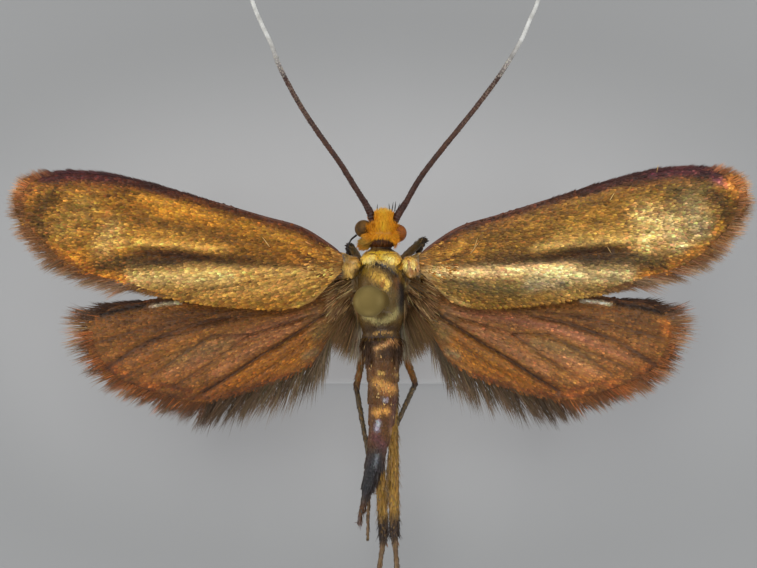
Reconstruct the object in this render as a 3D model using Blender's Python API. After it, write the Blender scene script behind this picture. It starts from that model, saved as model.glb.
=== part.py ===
"""A brassy longhorn moth, a female, set with spread wings and pinned over a small pale block.

Metres, +Z up. The head is towards +Y and the wings spread along X. "right" is at +X, as seen from
above. The origin is on the underside of the block, on the pin's axis.
"""

import math
import random

import bmesh
import bpy
from mathutils import Vector

MM = 0.001

# Sizes that the rest follows from
FOREWING_LENGTH = 8.32 * MM
HINDWING_LENGTH = 6.83 * MM
THICKNESS = 0.5 * MM
SEAM = 0.25 * MM
FINE_SEAM = 0.12 * MM
AXIS_HEIGHT = 5.0 * MM
SIDES = {"left": -1, "right": 1}

# Block and pin
BLOCK_SIZE = (10.0 * MM, 3.4 * MM, 1.2 * MM)
BLOCK_BACK_SHIFT = 0.65 * MM
BLOCK_BEVEL = 0.12 * MM
PIN_RADIUS = 0.25 * MM
PIN_TOP = 8.1 * MM
PIN_HEAD_RADIUS = 0.48 * MM
PIN_HEAD_DEPTH = 0.68 * MM

# Body stations: distance along Y, half width, half depth, centre across X, centre above the axis
THORAX_STATIONS = (
    (1.30, 0.40, 0.42, 0.00, -0.05),
    (1.12, 0.60, 0.64, 0.00, -0.02),
    (0.70, 0.68, 0.82, 0.00, 0.00),
    (0.05, 0.70, 0.88, 0.00, 0.00),
    (-0.45, 0.66, 0.78, 0.00, -0.03),
    (-0.85, 0.54, 0.58, 0.00, -0.08),
)
HEAD_STATIONS = (
    (1.50, 0.32, 0.34, 0.00, -0.06),
    (1.62, 0.48, 0.50, 0.01, -0.06),
    (1.92, 0.52, 0.58, 0.02, -0.06),
    (2.16, 0.46, 0.52, 0.03, -0.07),
    (2.34, 0.28, 0.32, 0.04, -0.10),
)
HEAD_SIDE = 0.37 * MM
ABDOMEN_START = -1.10 * MM
ABDOMEN_END = -5.10 * MM
ABDOMEN_RINGS = 7
ABDOMEN_HALF_WIDTHS = (0.57, 0.47, 0.44, 0.42, 0.36, 0.30, 0.26, 0.17)
ABDOMEN_DROP = 0.95 * MM
ABDOMEN_SWING = -0.38 * MM
ABDOMEN_BOW = 0.08 * MM
RING_STEP = 0.035 * MM
OVIPOSITOR_TIP = (-0.62, -6.05, -1.15)
OVIPOSITOR_RADIUS = 0.09 * MM

TEGULA_CENTRE = (0.74, 0.86, 0.34)
TEGULA_SIZE = (0.30, 0.40, 0.34)
WING_BASE_CENTRE = (0.78, 0.48, 0.08)
WING_BASE_SIZE = (0.28, 0.34, 0.16)
COLLAR_CENTRE = (0.27, 1.09, 0.44)
COLLAR_SIZE = (0.31, 0.22, 0.24)
SCUTELLUM_CENTRE = (0.0, -0.42, 0.52)
SCUTELLUM_SIZE = (0.34, 0.32, 0.26)

EYE_PLACES = {"left": (1.91, -0.02), "right": (1.77, -0.02)}
EYE_RADIUS = 0.27 * MM
EYE_BULGE = 0.24 * MM

# Wing outlines as shares of the wing's length, from the middle of its root round the tip and back.
# x runs outwards and y forwards. The fringe stands outside them.
FOREWING_ROOT = (1.30, 1.03, 0.45)
FOREWING_OUTLINE = (
    (0.000, 0.047), (0.097, 0.110), (0.225, 0.149), (0.417, 0.209), (0.610, 0.267), (0.738, 0.293),
    (0.841, 0.299), (0.930, 0.287), (0.980, 0.261), (1.000, 0.207), (0.980, 0.135), (0.931, 0.069),
    (0.859, 0.008), (0.769, -0.034), (0.673, -0.058), (0.553, -0.100), (0.361, -0.136), (0.168, -0.148),
    (0.072, -0.130), (0.000, -0.047),
)
FOREWING_VEINS = (0.14, 0.27, 0.36, 0.43, 0.49, 0.55, 0.62, 0.76)
HINDWING_ROOT = (1.02, -0.12, -0.40)
HINDWING_OUTLINE = (
    (0.000, 0.050), (0.217, 0.050), (0.510, 0.047), (0.670, 0.038), (0.800, 0.020), (0.921, 0.000),
    (0.984, -0.056), (1.000, -0.111), (0.982, -0.182), (0.921, -0.271), (0.849, -0.310), (0.760, -0.341),
    (0.602, -0.375), (0.442, -0.334), (0.307, -0.287), (0.186, -0.239), (0.108, -0.199), (0.044, -0.107),
    (0.000, -0.050),
)
HINDWING_VEINS = (0.22, 0.36, 0.43, 0.49, 0.55, 0.62, 0.70, 0.80)
WING_TURN = {"forewing_left": -0.9, "forewing_right": 0.0, "hindwing_left": -0.6, "hindwing_right": 0.0}
WING_RISE = math.radians(2.5)
WING_CAMBER = 0.16 * MM
WING_ROWS = 7
VEIN_HEIGHT = 0.10 * MM
VEIN_HALF_WIDTH = 0.008
LINE_SPACING = 0.055
PLEAT_DEPTH = {"forewing": 0.02 * MM, "hindwing": 0.05 * MM}

# Fringe locks. Each run gives shares along the outline with the lock's length there.
LOCK_SPACING = 0.34 * MM
LOCK_WIDTH = 0.58 * MM
LOCK_TIP_WIDTH = 0.15 * MM
LOCK_ROOT_DEPTH = 0.34 * MM
LOCK_BEND = 0.08
LOCK_FAN = 0.9
FOREWING_LOCKS = ((0.455, 0.36 * MM), (0.52, 0.52 * MM), (0.68, 0.50 * MM))
HINDWING_LOCKS = ((0.385, 0.52 * MM), (0.50, 0.46 * MM), (0.62, 0.42 * MM), (0.72, 0.95 * MM), (0.97, 1.25 * MM))

# Head tuft: rows of locks as distance along Y, number across, lean forwards in degrees
TUFT_ROWS = ((1.72, 3, 15), (1.95, 3, 35), (2.12, 1, 60))
TUFT_LENGTH = 0.40 * MM
TUFT_WIDTH = 0.42 * MM
TUFT_TIP_WIDTH = 0.08 * MM
TUFT_SPACING = 0.28

# Antennae, mouthparts and legs: joints in millimetres as (x, y, height from the body's axis)
ANTENNA_ROOT_RADIUS = 0.25 * MM
ANTENNA_TIP_RADIUS = 0.09 * MM
ANTENNA_PATHS = {
    "left": (
        (-0.44, 2.56, 0.02), (-0.81, 3.20, 0.26), (-1.63, 4.40, 0.52), (-2.16, 5.20, 0.60), (-2.69, 6.19, 0.64),
        (-3.17, 7.33, 0.62), (-3.44, 8.00, 0.58), (-3.84, 9.40, 0.45), (-4.12, 11.2, 0.22), (-4.22, 13.1, -0.1),
    ),
    "right": (
        (0.64, 2.60, 0.02), (1.04, 3.25, 0.26), (1.57, 3.95, 0.46), (2.11, 4.61, 0.56), (3.17, 6.00, 0.64),
        (3.71, 6.88, 0.63), (4.19, 8.00, 0.58), (4.62, 9.60, 0.42), (4.84, 11.4, 0.20), (4.90, 13.2, -0.1),
    ),
}
PALP_PATH = ((0.36, 2.40, -0.66), (0.48, 2.50, -0.94), (0.54, 2.46, -1.26))
PALP_RADIUS = 0.19 * MM
PROBOSCIS_PATH = (
    (0.03, 2.22, -1.02), (0.03, 2.38, -1.40), (0.03, 2.12, -1.72), (0.03, 1.70, -1.66), (0.03, 1.56, -1.34),
)
PROBOSCIS_RADIUS = 0.23 * MM
LEG_PATHS = {
    "foreleg_left": (
        (-0.36, 0.72, -1.02), (-0.56, 1.02, -1.18), (-0.84, 1.48, -0.92), (-0.98, 0.55, -1.66),
        (-0.95, -0.35, -2.10), (-1.00, -1.05, -2.42),
    ),
    "foreleg_right": (
        (0.36, 0.72, -1.02), (0.56, 1.02, -1.16), (1.12, 1.60, -0.72), (1.02, 0.55, -1.62),
        (0.95, -0.35, -2.10), (1.00, -1.05, -2.42),
    ),
    "midleg_left": (
        (-0.70, -0.02, -1.00), (-0.80, -0.50, -1.22), (-0.67, -2.45, -1.30), (-0.29, -4.53, -1.74),
        (-0.34, -5.40, -2.02), (-0.36, -6.50, -2.15),
    ),
    "midleg_right": (
        (0.70, -0.02, -1.00), (0.90, -0.50, -1.30), (0.94, -2.32, -1.76), (0.30, -3.75, -2.90),
        (0.20, -4.70, -3.20), (0.18, -5.60, -3.40),
    ),
    "hindleg_left": (
        (-0.36, -0.68, -1.04), (-0.34, -1.10, -1.46), (-0.12, -2.80, -2.20), (0.08, -6.53, -2.70),
        (-0.04, -7.40, -2.80), (-0.24, -8.90, -2.95),
    ),
    "hindleg_right": (
        (0.36, -0.68, -1.04), (0.34, -1.10, -1.30), (0.42, -2.70, -1.24), (0.43, -6.40, -1.96),
        (0.44, -7.40, -2.06), (0.60, -8.90, -2.20),
    ),
}
LEG_RADII = (0.25 * MM, 0.25 * MM, 0.25 * MM, 0.25 * MM, 0.20 * MM, 0.11 * MM)
JOINT_ROUNDING = 0.22 * MM

COLOURS = {
    "stand_base": ((0.62, 0.62, 0.61), 0.9, 0.0),
    "stand_pin": ((0.45, 0.42, 0.30), 0.3, 0.9),
    "thorax": ((0.55, 0.36, 0.09), 0.35, 0.8),
    "abdomen": ((0.22, 0.12, 0.06), 0.45, 0.4),
    "head": ((0.72, 0.32, 0.03), 0.7, 0.1),
    "eye": ((0.10, 0.08, 0.05), 0.2, 0.0),
    "antenna": ((0.16, 0.07, 0.03), 0.5, 0.2),
    "forewing": ((0.48, 0.33, 0.10), 0.4, 0.8),
    "hindwing": ((0.27, 0.15, 0.08), 0.5, 0.5),
    "leg": ((0.42, 0.27, 0.07), 0.5, 0.2),
}


def clear_scene():
    for old in list(bpy.data.objects):
        bpy.data.objects.remove(old)


def material(name):
    made = bpy.data.materials.get(name)
    if made:
        return made
    colour, roughness, metallic = COLOURS[name]
    made = bpy.data.materials.new(name)
    made.use_nodes = True
    shader = made.node_tree.nodes["Principled BSDF"]
    shader.inputs["Base Color"].default_value = (*colour, 1)
    shader.inputs["Roughness"].default_value = roughness
    shader.inputs["Metallic"].default_value = metallic
    return made


def add_object(name, mesh_builder, finish, smooth=True):
    """A named object from a bmesh, with outward faces."""
    bmesh.ops.recalc_face_normals(mesh_builder, faces=mesh_builder.faces)
    mesh = bpy.data.meshes.new(name)
    mesh_builder.to_mesh(mesh)
    mesh_builder.free()
    mesh.materials.append(material(finish))
    if smooth:
        mesh.shade_smooth()
        mesh.set_sharp_from_angle(angle=math.radians(40))
    made = bpy.data.objects.new(name, mesh)
    bpy.context.scene.collection.objects.link(made)
    return made


def on_body(point):
    """A point given in millimetres from the body's axis above the origin."""
    x, y, z = point
    return Vector((x * MM, y * MM, z * MM + AXIS_HEIGHT))


def smooth_curve(points, count):
    """Points spread evenly along a curve that passes through the given ones."""
    points = [Vector(p) for p in points]
    ends = [2 * points[0] - points[1], *points, 2 * points[-1] - points[-2]]
    fine = []
    for before, start, end, after in zip(ends, ends[1:], ends[2:], ends[3:]):
        for step in range(16):
            t = step / 16
            fine.append(0.5 * (2 * start + (end - before) * t + (2 * before - 5 * start + 4 * end - after) * t * t
                               + (3 * start - before - 3 * end + after) * t * t * t))
    fine.append(points[-1])
    lengths = [0.0]
    for a, b in zip(fine, fine[1:]):
        lengths.append(lengths[-1] + (b - a).length)
    spread = []
    place = 0
    for step in range(count):
        wanted = lengths[-1] * step / (count - 1)
        while place < len(fine) - 2 and lengths[place + 1] < wanted:
            place += 1
        share = (wanted - lengths[place]) / (lengths[place + 1] - lengths[place])
        spread.append(fine[place].lerp(fine[place + 1], min(1.0, share)))
    return spread


def rounded_corners(points, radii, rounding):
    """The path with each inner corner replaced by two points, and a radius for each point."""
    path, sizes = [points[0]], [radii[0]]
    for before, corner, after, radius in zip(points, points[1:], points[2:], radii[1:]):
        path.append(corner + (before - corner).normalized() * rounding)
        path.append(corner + (after - corner).normalized() * rounding)
        sizes += [radius, radius]
    return [*path, points[-1]], [*sizes, radii[-1]]


def bridge(builder, rings):
    """Side faces between rings of equal count, and a face over each end."""
    for near, far in zip(rings, rings[1:]):
        for i in range(len(near)):
            j = (i + 1) % len(near)
            builder.faces.new((near[i], near[j], far[j], far[i]))
    builder.faces.new(rings[0])
    builder.faces.new(rings[-1])


def tube(path, radii, sides=8):
    """A closed round tube along a path, with a radius at each point."""
    builder = bmesh.new()
    rings = []
    across = None
    for i, point in enumerate(path):
        ahead = (path[min(i + 1, len(path) - 1)] - path[max(i - 1, 0)]).normalized()
        guide = across or ahead.orthogonal()
        across = (guide - ahead * guide.dot(ahead)).normalized()
        up = ahead.cross(across)
        ring = []
        for k in range(sides):
            angle = 2 * math.pi * k / sides
            ring.append(builder.verts.new(point + radii[i] * (across * math.cos(angle) + up * math.sin(angle))))
        rings.append(ring)
    bridge(builder, rings)
    return builder


def loft(stations, sides=16, side_limit=None):
    """A closed body of oval rings across Y. A side limit flattens it at that half width."""
    builder = bmesh.new()
    rings = []
    for y, half_width, half_depth, x, z in stations:
        ring = []
        for k in range(sides):
            angle = 2 * math.pi * (k + 0.5) / sides
            across = half_width * math.cos(angle)
            if side_limit:
                across = max(-side_limit, min(side_limit, across))
            ring.append(builder.verts.new((x + across, y, z + half_depth * math.sin(angle))))
        rings.append(ring)
    bridge(builder, rings)
    return builder


def body_stations(rows):
    """Station rows in millimetres turned into metres at the body's height."""
    return [(y * MM, w * MM, d * MM, x * MM, z * MM + AXIS_HEIGHT) for y, w, d, x, z in rows]


def lobe(centre, size):
    """A small rounded lobe on the body, as a temporary object for a union."""
    builder = bmesh.new()
    bmesh.ops.create_uvsphere(builder, u_segments=10, v_segments=6, radius=1)
    for vert in builder.verts:
        vert.co = on_body([c + s * v for c, s, v in zip(centre, size, vert.co)])
    return add_object("lobe", builder, "thorax")


def join(base, pieces):
    """One closed solid of a node's body and the pieces that grow from it."""
    group = bpy.data.collections.new(base.name + "_pieces")
    bpy.context.scene.collection.children.link(group)
    for piece in pieces:
        bpy.context.scene.collection.objects.unlink(piece)
        group.objects.link(piece)
    union = base.modifiers.new("join", "BOOLEAN")
    union.operation = "UNION"
    union.operand_type = "COLLECTION"
    union.collection = group
    union.solver = "EXACT"
    bpy.context.view_layer.update()
    graph = bpy.context.evaluated_depsgraph_get()
    joined = bpy.data.meshes.new_from_object(base.evaluated_get(graph))
    base.modifiers.remove(union)
    base.data = joined
    for piece in pieces:
        bpy.data.objects.remove(piece)
    bpy.data.collections.remove(group)
    keep_largest_surface(base.data)


def keep_largest_surface(mesh):
    """Drops every connected surface except the one with most faces."""
    builder = bmesh.new()
    builder.from_mesh(mesh)
    unseen = set(builder.faces)
    surfaces = []
    while unseen:
        edge_of_search = [unseen.pop()]
        surface = list(edge_of_search)
        while edge_of_search:
            face = edge_of_search.pop()
            for neighbour in {f for edge in face.edges for f in edge.link_faces} & unseen:
                unseen.discard(neighbour)
                edge_of_search.append(neighbour)
                surface.append(neighbour)
        surfaces.append(surface)
    surfaces.sort(key=len)
    for surface in surfaces[:-1]:
        bmesh.ops.delete(builder, geom=surface, context="FACES")
    builder.to_mesh(mesh)
    builder.free()


def make_stand():
    """The block, the pin below the thorax and the pin's top with its head."""
    width, length, height = BLOCK_SIZE
    builder = bmesh.new()
    bmesh.ops.create_cube(builder, size=1)
    for vert in builder.verts:
        vert.co = Vector((vert.co.x * width, vert.co.y * length - BLOCK_BACK_SHIFT, (vert.co.z + 0.5) * height))
    block = add_object("stand_base", builder, "stand_base", smooth=False)
    bevel = block.modifiers.new("bevel", "BEVEL")
    bevel.width = BLOCK_BEVEL
    bevel.segments = 2
    thorax_depth = THORAX_STATIONS[3][2] * MM
    rod = (Vector((0, 0, height + SEAM)), Vector((0, 0, AXIS_HEIGHT - thorax_depth - SEAM)))
    add_object("stand_rod", tube(rod, (PIN_RADIUS, PIN_RADIUS), 16), "stand_pin")
    neck = PIN_TOP - PIN_HEAD_DEPTH
    profile = [(AXIS_HEIGHT + thorax_depth + SEAM, PIN_RADIUS), (neck, PIN_RADIUS)]
    for step in range(1, 6):
        angle = math.pi * step / 6
        profile.append((neck + PIN_HEAD_DEPTH * (1 - math.cos(angle)) / 2, PIN_HEAD_RADIUS * math.sin(angle) ** 0.7))
    profile.append((PIN_TOP, 0.3 * PIN_HEAD_RADIUS))
    path = [Vector((0, 0, z)) for z, radius in profile]
    add_object("stand_pin", tube(path, [radius for z, radius in profile], 16), "stand_pin")


def make_thorax():
    thorax = add_object("thorax", loft(body_stations(THORAX_STATIONS)), "thorax")
    lobes = [lobe(SCUTELLUM_CENTRE, SCUTELLUM_SIZE)]
    for side in SIDES.values():
        for centre, size in (
            (TEGULA_CENTRE, TEGULA_SIZE), (WING_BASE_CENTRE, WING_BASE_SIZE), (COLLAR_CENTRE, COLLAR_SIZE),
        ):
            lobes.append(lobe((side * centre[0], *centre[1:]), size))
    join(thorax, lobes)


def make_abdomen():
    """Overlapping rings that narrow, droop and swing to the left, ending in the ovipositor."""
    stations = []
    for ring in range(ABDOMEN_RINGS):
        for share, step in ((0.04, 0), (0.86, RING_STEP), (0.96, RING_STEP)):
            along = (ring + share) / ABDOMEN_RINGS
            place = along * (len(ABDOMEN_HALF_WIDTHS) - 1)
            low = min(int(place), len(ABDOMEN_HALF_WIDTHS) - 2)
            half = ABDOMEN_HALF_WIDTHS[low] + (ABDOMEN_HALF_WIDTHS[low + 1] - ABDOMEN_HALF_WIDTHS[low]) * (place - low)
            stations.append((
                ABDOMEN_START + (ABDOMEN_END - ABDOMEN_START) * along,
                half * MM + step,
                half * MM * 1.05 + step,
                ABDOMEN_SWING * along ** 3 + ABDOMEN_BOW * math.sin(math.pi * along),
                AXIS_HEIGHT - 0.10 * MM - ABDOMEN_DROP * along ** 1.4,
            ))
    tip = on_body(OVIPOSITOR_TIP)
    y, x, z = ABDOMEN_END, ABDOMEN_SWING, AXIS_HEIGHT - 0.10 * MM - ABDOMEN_DROP
    for share in (0.08, 0.5, 1.0):
        radius = OVIPOSITOR_RADIUS * (1.15 - 0.6 * share)
        stations.append((y + (tip.y - y) * share, radius, radius, x + (tip.x - x) * share, z + (tip.z - z) * share))
    add_object("abdomen", loft(stations, sides=12), "abdomen")


def tapered_lock(root, direction, up, length, widths, bend, finish):
    """A flat lock with four sides that narrows to its tip and bends along up."""
    builder = bmesh.new()
    direction = direction.normalized()
    across = direction.cross(up).normalized()
    up = across.cross(direction)
    rings = []
    for share in (0, 0.45, 0.8, 1.0):
        half = 0.5 * (widths[0] + (widths[1] - widths[0]) * share ** 1.3)
        middle = root + direction * length * share + up * bend * length * share * share
        offsets = (across * half, up * half * 0.85, -across * half, -up * half * 0.85)
        rings.append([builder.verts.new(middle + offset) for offset in offsets])
    bridge(builder, rings)
    return add_object("lock", builder, finish)


def make_head():
    """The skull with flat sides for the eyes, and the rough tuft on its crown."""
    head = add_object("head", loft(body_stations(HEAD_STATIONS), side_limit=HEAD_SIDE), "head")
    draw = random.Random(4)
    locks = []
    for y, across_count, lean in TUFT_ROWS:
        for k in range(across_count):
            x = (k - (across_count - 1) / 2) * TUFT_SPACING
            root = on_body((x + 0.05, y, 0.24))
            angle = math.radians(lean + draw.uniform(-6, 6))
            direction = Vector((x * 0.4, math.sin(angle), math.cos(angle)))
            length = TUFT_LENGTH * draw.uniform(0.9, 1.15)
            up = Vector((0, -1, 0.3))
            locks.append(tapered_lock(root, direction, up, length, (TUFT_WIDTH, TUFT_TIP_WIDTH), -0.1, "head"))
    join(head, locks)


def make_eye(side):
    """A dome whose flat inner face looks at the head's flat side."""
    builder = bmesh.new()
    y, z = EYE_PLACES[side]
    inner = SIDES[side] * (HEAD_SIDE + FINE_SEAM)
    rings = []
    for turn in (0, 25, 50, 72):
        angle = math.radians(turn)
        ring = []
        for k in range(14):
            around = 2 * math.pi * k / 14
            ring.append(builder.verts.new((
                inner + SIDES[side] * EYE_BULGE * math.sin(angle) + 0.02 * MM,
                y * MM + EYE_RADIUS * math.cos(angle) * math.cos(around),
                AXIS_HEIGHT + z * MM + EYE_RADIUS * math.cos(angle) * math.sin(around),
            )))
        rings.append(ring)
    bridge(builder, rings)
    add_object("eye_" + side, builder, "eye")


def make_antenna(side):
    path = smooth_curve([on_body(p) for p in ANTENNA_PATHS[side]], 22)
    radii = [ANTENNA_ROOT_RADIUS + (ANTENNA_TIP_RADIUS - ANTENNA_ROOT_RADIUS) * (i / 21) ** 2 for i in range(22)]
    add_object("antenna_" + side, tube(path, radii), "antenna")


def make_mouthparts():
    for side, sign in SIDES.items():
        path = smooth_curve([on_body((sign * x + 0.03, y, z)) for x, y, z in PALP_PATH], 6)
        radii = [PALP_RADIUS * (1 - 0.5 * (i / 5) ** 2) for i in range(6)]
        add_object("palp_" + side, tube(path, radii), "head")
    path = smooth_curve([on_body(p) for p in PROBOSCIS_PATH], 12)
    radii = [PROBOSCIS_RADIUS * (1 - 0.5 * (i / 11) ** 2) for i in range(12)]
    add_object("proboscis", tube(path, radii), "leg")


def make_legs():
    for name, joints in LEG_PATHS.items():
        path, radii = rounded_corners([on_body(p) for p in joints], LEG_RADII, JOINT_ROUNDING)
        add_object(name, tube(path, radii), "leg")


def along_curve(points, share):
    """The point at a share of the way along evenly spread points, and the direction there."""
    place = share * (len(points) - 1)
    low = min(int(place), len(points) - 2)
    return points[low].lerp(points[low + 1], place - low), (points[low + 1] - points[low]).normalized()


def vein_lines(veins):
    """Shares along the outline where a wing's mesh has lines, each with 1 on a vein's crest, 0 beside
    it and -1 in the middle of the cell between two veins."""
    marks = [(0.0, 0)]
    for vein in veins:
        marks += [(vein - VEIN_HALF_WIDTH, 0), (vein, 1), (vein + VEIN_HALF_WIDTH, 0)]
    marks.append((1.0, 0))
    lines = []
    for (share, kind), (after, _) in zip(marks, marks[1:]):
        lines.append((share, kind))
        steps = max(1, round((after - share) / LINE_SPACING))
        for step in range(1, steps):
            lines.append((share + (after - share) * step / steps, -1))
    return [*lines, marks[-1]]


class Wing:
    """Places points of a wing that are given flat, from its root as seen on the right side."""

    def __init__(self, kind, side, root, length, outline):
        self.sign = SIDES[side]
        self.turn = math.radians(WING_TURN[f"{kind}_{side}"])
        self.root = on_body(root)
        self.outline = smooth_curve([Vector((x * length, y * length, 0)) for x, y in outline], 241)
        self.pleat = PLEAT_DEPTH[kind]

    def flat(self, out, share):
        """From the root line at out = 0 to the outline at out = 1."""
        root = self.outline[0].lerp(self.outline[-1], share)
        return root.lerp(along_curve(self.outline, share)[0], out)

    def height(self, x, share, out):
        return x * math.tan(WING_RISE) + WING_CAMBER * math.sin(math.pi * share) * min(1.0, out)

    def placed(self, point, height):
        x = point.x * math.cos(self.turn) - point.y * math.sin(self.turn)
        y = point.x * math.sin(self.turn) + point.y * math.cos(self.turn)
        place = self.root + Vector((x, y, height))
        return Vector((self.sign * place.x, place.y, place.z))


def wing_slab(wing, veins):
    """A slab of one thickness. Its lines fan out from the root, and the veins stand up on top."""
    builder = bmesh.new()
    lines = vein_lines(veins)
    grids = []
    for level in (1, -1):
        grid = []
        for row in range(WING_ROWS + 1):
            out = row / WING_ROWS
            points = []
            for share, kind in lines:
                flat = wing.flat(out, share)
                lift = level * THICKNESS / 2 + kind * wing.pleat * out
                if level > 0 and kind > 0:
                    lift += VEIN_HEIGHT * (1 - 0.5 * out)
                points.append(builder.verts.new(wing.placed(flat, wing.height(flat.x, share, out) + lift)))
            grid.append(points)
        grids.append(grid)
        for near, far in zip(grid, grid[1:]):
            for k in range(len(lines) - 1):
                builder.faces.new((near[k], near[k + 1], far[k + 1]))
                builder.faces.new((near[k], far[k + 1], far[k]))
    top, bottom = grids
    rims = [(top[0], bottom[0]), (top[-1], bottom[-1])]
    for end in (0, -1):
        rims.append(([row[end] for row in top], [row[end] for row in bottom]))
    for upper, lower in rims:
        for k in range(len(upper) - 1):
            builder.faces.new((upper[k], upper[k + 1], lower[k + 1]))
            builder.faces.new((upper[k], lower[k + 1], lower[k]))
    return builder


def lock_length_at(lock_run, share):
    for (start, length), (end, after) in zip(lock_run, lock_run[1:]):
        if share <= end:
            return length + (after - length) * (share - start) / (end - start)
    return lock_run[-1][1]


def fringe(wing, lock_run, finish):
    """Overlapping locks along the outline, rooted inside the slab."""
    draw = random.Random(7)
    span = sum((b - a).length for a, b in zip(wing.outline, wing.outline[1:]))
    start, end = lock_run[0][0], lock_run[-1][0]
    count = round((end - start) * span / LOCK_SPACING)
    locks = []
    for k in range(count + 1):
        share = start + (end - start) * k / count
        point, ahead = along_curve(wing.outline, share)
        outward = Vector((-ahead.y, ahead.x, 0))
        direction = (outward + point.normalized() * LOCK_FAN).normalized()
        length = lock_length_at(lock_run, share) * draw.uniform(0.88, 1.12)
        height = wing.height(point.x, share, 1.0)
        root = wing.placed(point - direction * LOCK_ROOT_DEPTH, height + draw.uniform(-0.02, 0.02) * MM)
        tip = wing.placed(point + direction * length, height)
        locks.append(tapered_lock(root, tip - root, Vector((0.02, 0.03, 1)), (tip - root).length,
                                  (LOCK_WIDTH, LOCK_TIP_WIDTH), draw.uniform(-LOCK_BEND, LOCK_BEND), finish))
    return locks


def make_wings():
    kinds = {
        "forewing": (FOREWING_ROOT, FOREWING_LENGTH, FOREWING_OUTLINE, FOREWING_VEINS, FOREWING_LOCKS),
        "hindwing": (HINDWING_ROOT, HINDWING_LENGTH, HINDWING_OUTLINE, HINDWING_VEINS, HINDWING_LOCKS),
    }
    for kind, (root, length, outline, veins, lock_run) in kinds.items():
        for side in SIDES:
            wing = Wing(kind, side, root, length, outline)
            slab = add_object(f"{kind}_{side}", wing_slab(wing, veins), kind, smooth=False)
            join(slab, fringe(wing, lock_run, kind))


def main():
    clear_scene()
    make_stand()
    make_thorax()
    make_abdomen()
    make_head()
    for side in SIDES:
        make_eye(side)
        make_antenna(side)
    make_mouthparts()
    make_legs()
    make_wings()


main()
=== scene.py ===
import math

import bmesh
import bpy
import numpy as np
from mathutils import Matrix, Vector


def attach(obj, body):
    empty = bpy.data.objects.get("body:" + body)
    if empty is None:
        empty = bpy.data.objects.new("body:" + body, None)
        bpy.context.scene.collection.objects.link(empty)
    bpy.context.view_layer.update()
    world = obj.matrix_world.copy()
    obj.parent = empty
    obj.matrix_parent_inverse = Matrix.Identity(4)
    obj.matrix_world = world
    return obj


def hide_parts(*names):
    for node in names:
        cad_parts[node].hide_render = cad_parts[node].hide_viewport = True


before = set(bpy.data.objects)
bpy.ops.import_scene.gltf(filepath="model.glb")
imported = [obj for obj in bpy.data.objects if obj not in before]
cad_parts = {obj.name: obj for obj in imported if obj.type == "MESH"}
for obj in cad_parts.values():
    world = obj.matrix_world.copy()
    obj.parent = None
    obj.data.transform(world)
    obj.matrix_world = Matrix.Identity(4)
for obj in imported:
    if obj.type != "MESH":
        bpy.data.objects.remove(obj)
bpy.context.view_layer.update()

# The view: a camera straight above the moth, a grey floor under its stand that is painted paler round it, and
# soft light from large panels. Shapes are worked out in millimetres and made in metres.
MM = 0.001
AXIS_HEIGHT = 5.0
VIEW_CENTRE = (-0.067, 0.427)
VIEW_WIDTH = 20.19
VIEW_LEVEL = 5.6
LENS, SENSOR = 180, 36
FLOOR_GREY, FLOOR_PAINTED_LIGHT = (0.332, 0.334, 0.33), (0.58, 0.58, 0.575)
FLOOR_SIZE, FLOOR_LEVEL = 1600, -0.01
# Metres from the middle, counted half as far to the sides, between which the painted light at the floor's
# centre ends
PAINTED_LIGHT_START, PAINTED_LIGHT_END = 0.0014, 0.0082

camera_data = bpy.data.cameras.new("camera")
camera_data.lens = LENS
camera_data.sensor_width = SENSOR
camera_data.clip_start = 0.005
camera_data.clip_end = 5
camera = bpy.data.objects.new("camera", camera_data)
camera_height = VIEW_LEVEL + VIEW_WIDTH * LENS / SENSOR
camera.location = Vector((*VIEW_CENTRE, camera_height)) * MM
bpy.context.scene.collection.objects.link(camera)
bpy.context.scene.camera = camera
bpy.context.scene.view_settings.view_transform = "Standard"


def feed(tree, socket, value):
    """A socket given a plain value, a colour of three parts or another node's output."""
    if isinstance(value, bpy.types.NodeSocket):
        tree.links.new(value, socket)
    elif isinstance(value, tuple) and socket.type == "RGBA":
        socket.default_value = (*value[:3], 1)
    else:
        socket.default_value = value


def lay(tree, kind, inputs=None, **settings):
    """A shader node with its settings, and its inputs by name or number."""
    made = tree.nodes.new(kind)
    for name, value in settings.items():
        setattr(made, name, value)
    for name, value in (inputs or {}).items():
        feed(tree, made.inputs[name], value)
    return made


def new_finish(name, **shader_values):
    """A material, its tree and its Principled shader with plain values set on their sockets."""
    made = bpy.data.materials.new(name)
    made.use_nodes = True
    shader = made.node_tree.nodes["Principled BSDF"]
    for socket, value in shader_values.items():
        shader.inputs[socket.replace("_", " ")].default_value = value
    return made, made.node_tree, shader


def mixed(tree, share, first, second, blend="MIX"):
    """The colour that goes from first to second as share goes from 0 to 1."""
    made = lay(tree, "ShaderNodeMix", {0: share, 6: first, 7: second}, data_type="RGBA", blend_type=blend)
    return made.outputs[2]


def worked(tree, operation, first, second):
    """Two values added, multiplied or the like."""
    return lay(tree, "ShaderNodeMath", {0: first, 1: second}, operation=operation).outputs[0]


def ranged(tree, value, low=0.0, high=1.0, to_low=0.0, to_high=1.0, **settings):
    """A value that goes from to_low to to_high as another goes from low to high."""
    inputs = {"Value": value, "From Min": low, "From Max": high, "To Min": to_low, "To Max": to_high}
    return lay(tree, "ShaderNodeMapRange", inputs, **settings).outputs["Result"]


def own_place(tree):
    """Where a point lies on its own object."""
    return lay(tree, "ShaderNodeTexCoord").outputs["Object"]


def split(tree, vector):
    """The parts of a vector, by the names X, Y and Z."""
    return lay(tree, "ShaderNodeSeparateXYZ", {"Vector": vector}).outputs


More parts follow.
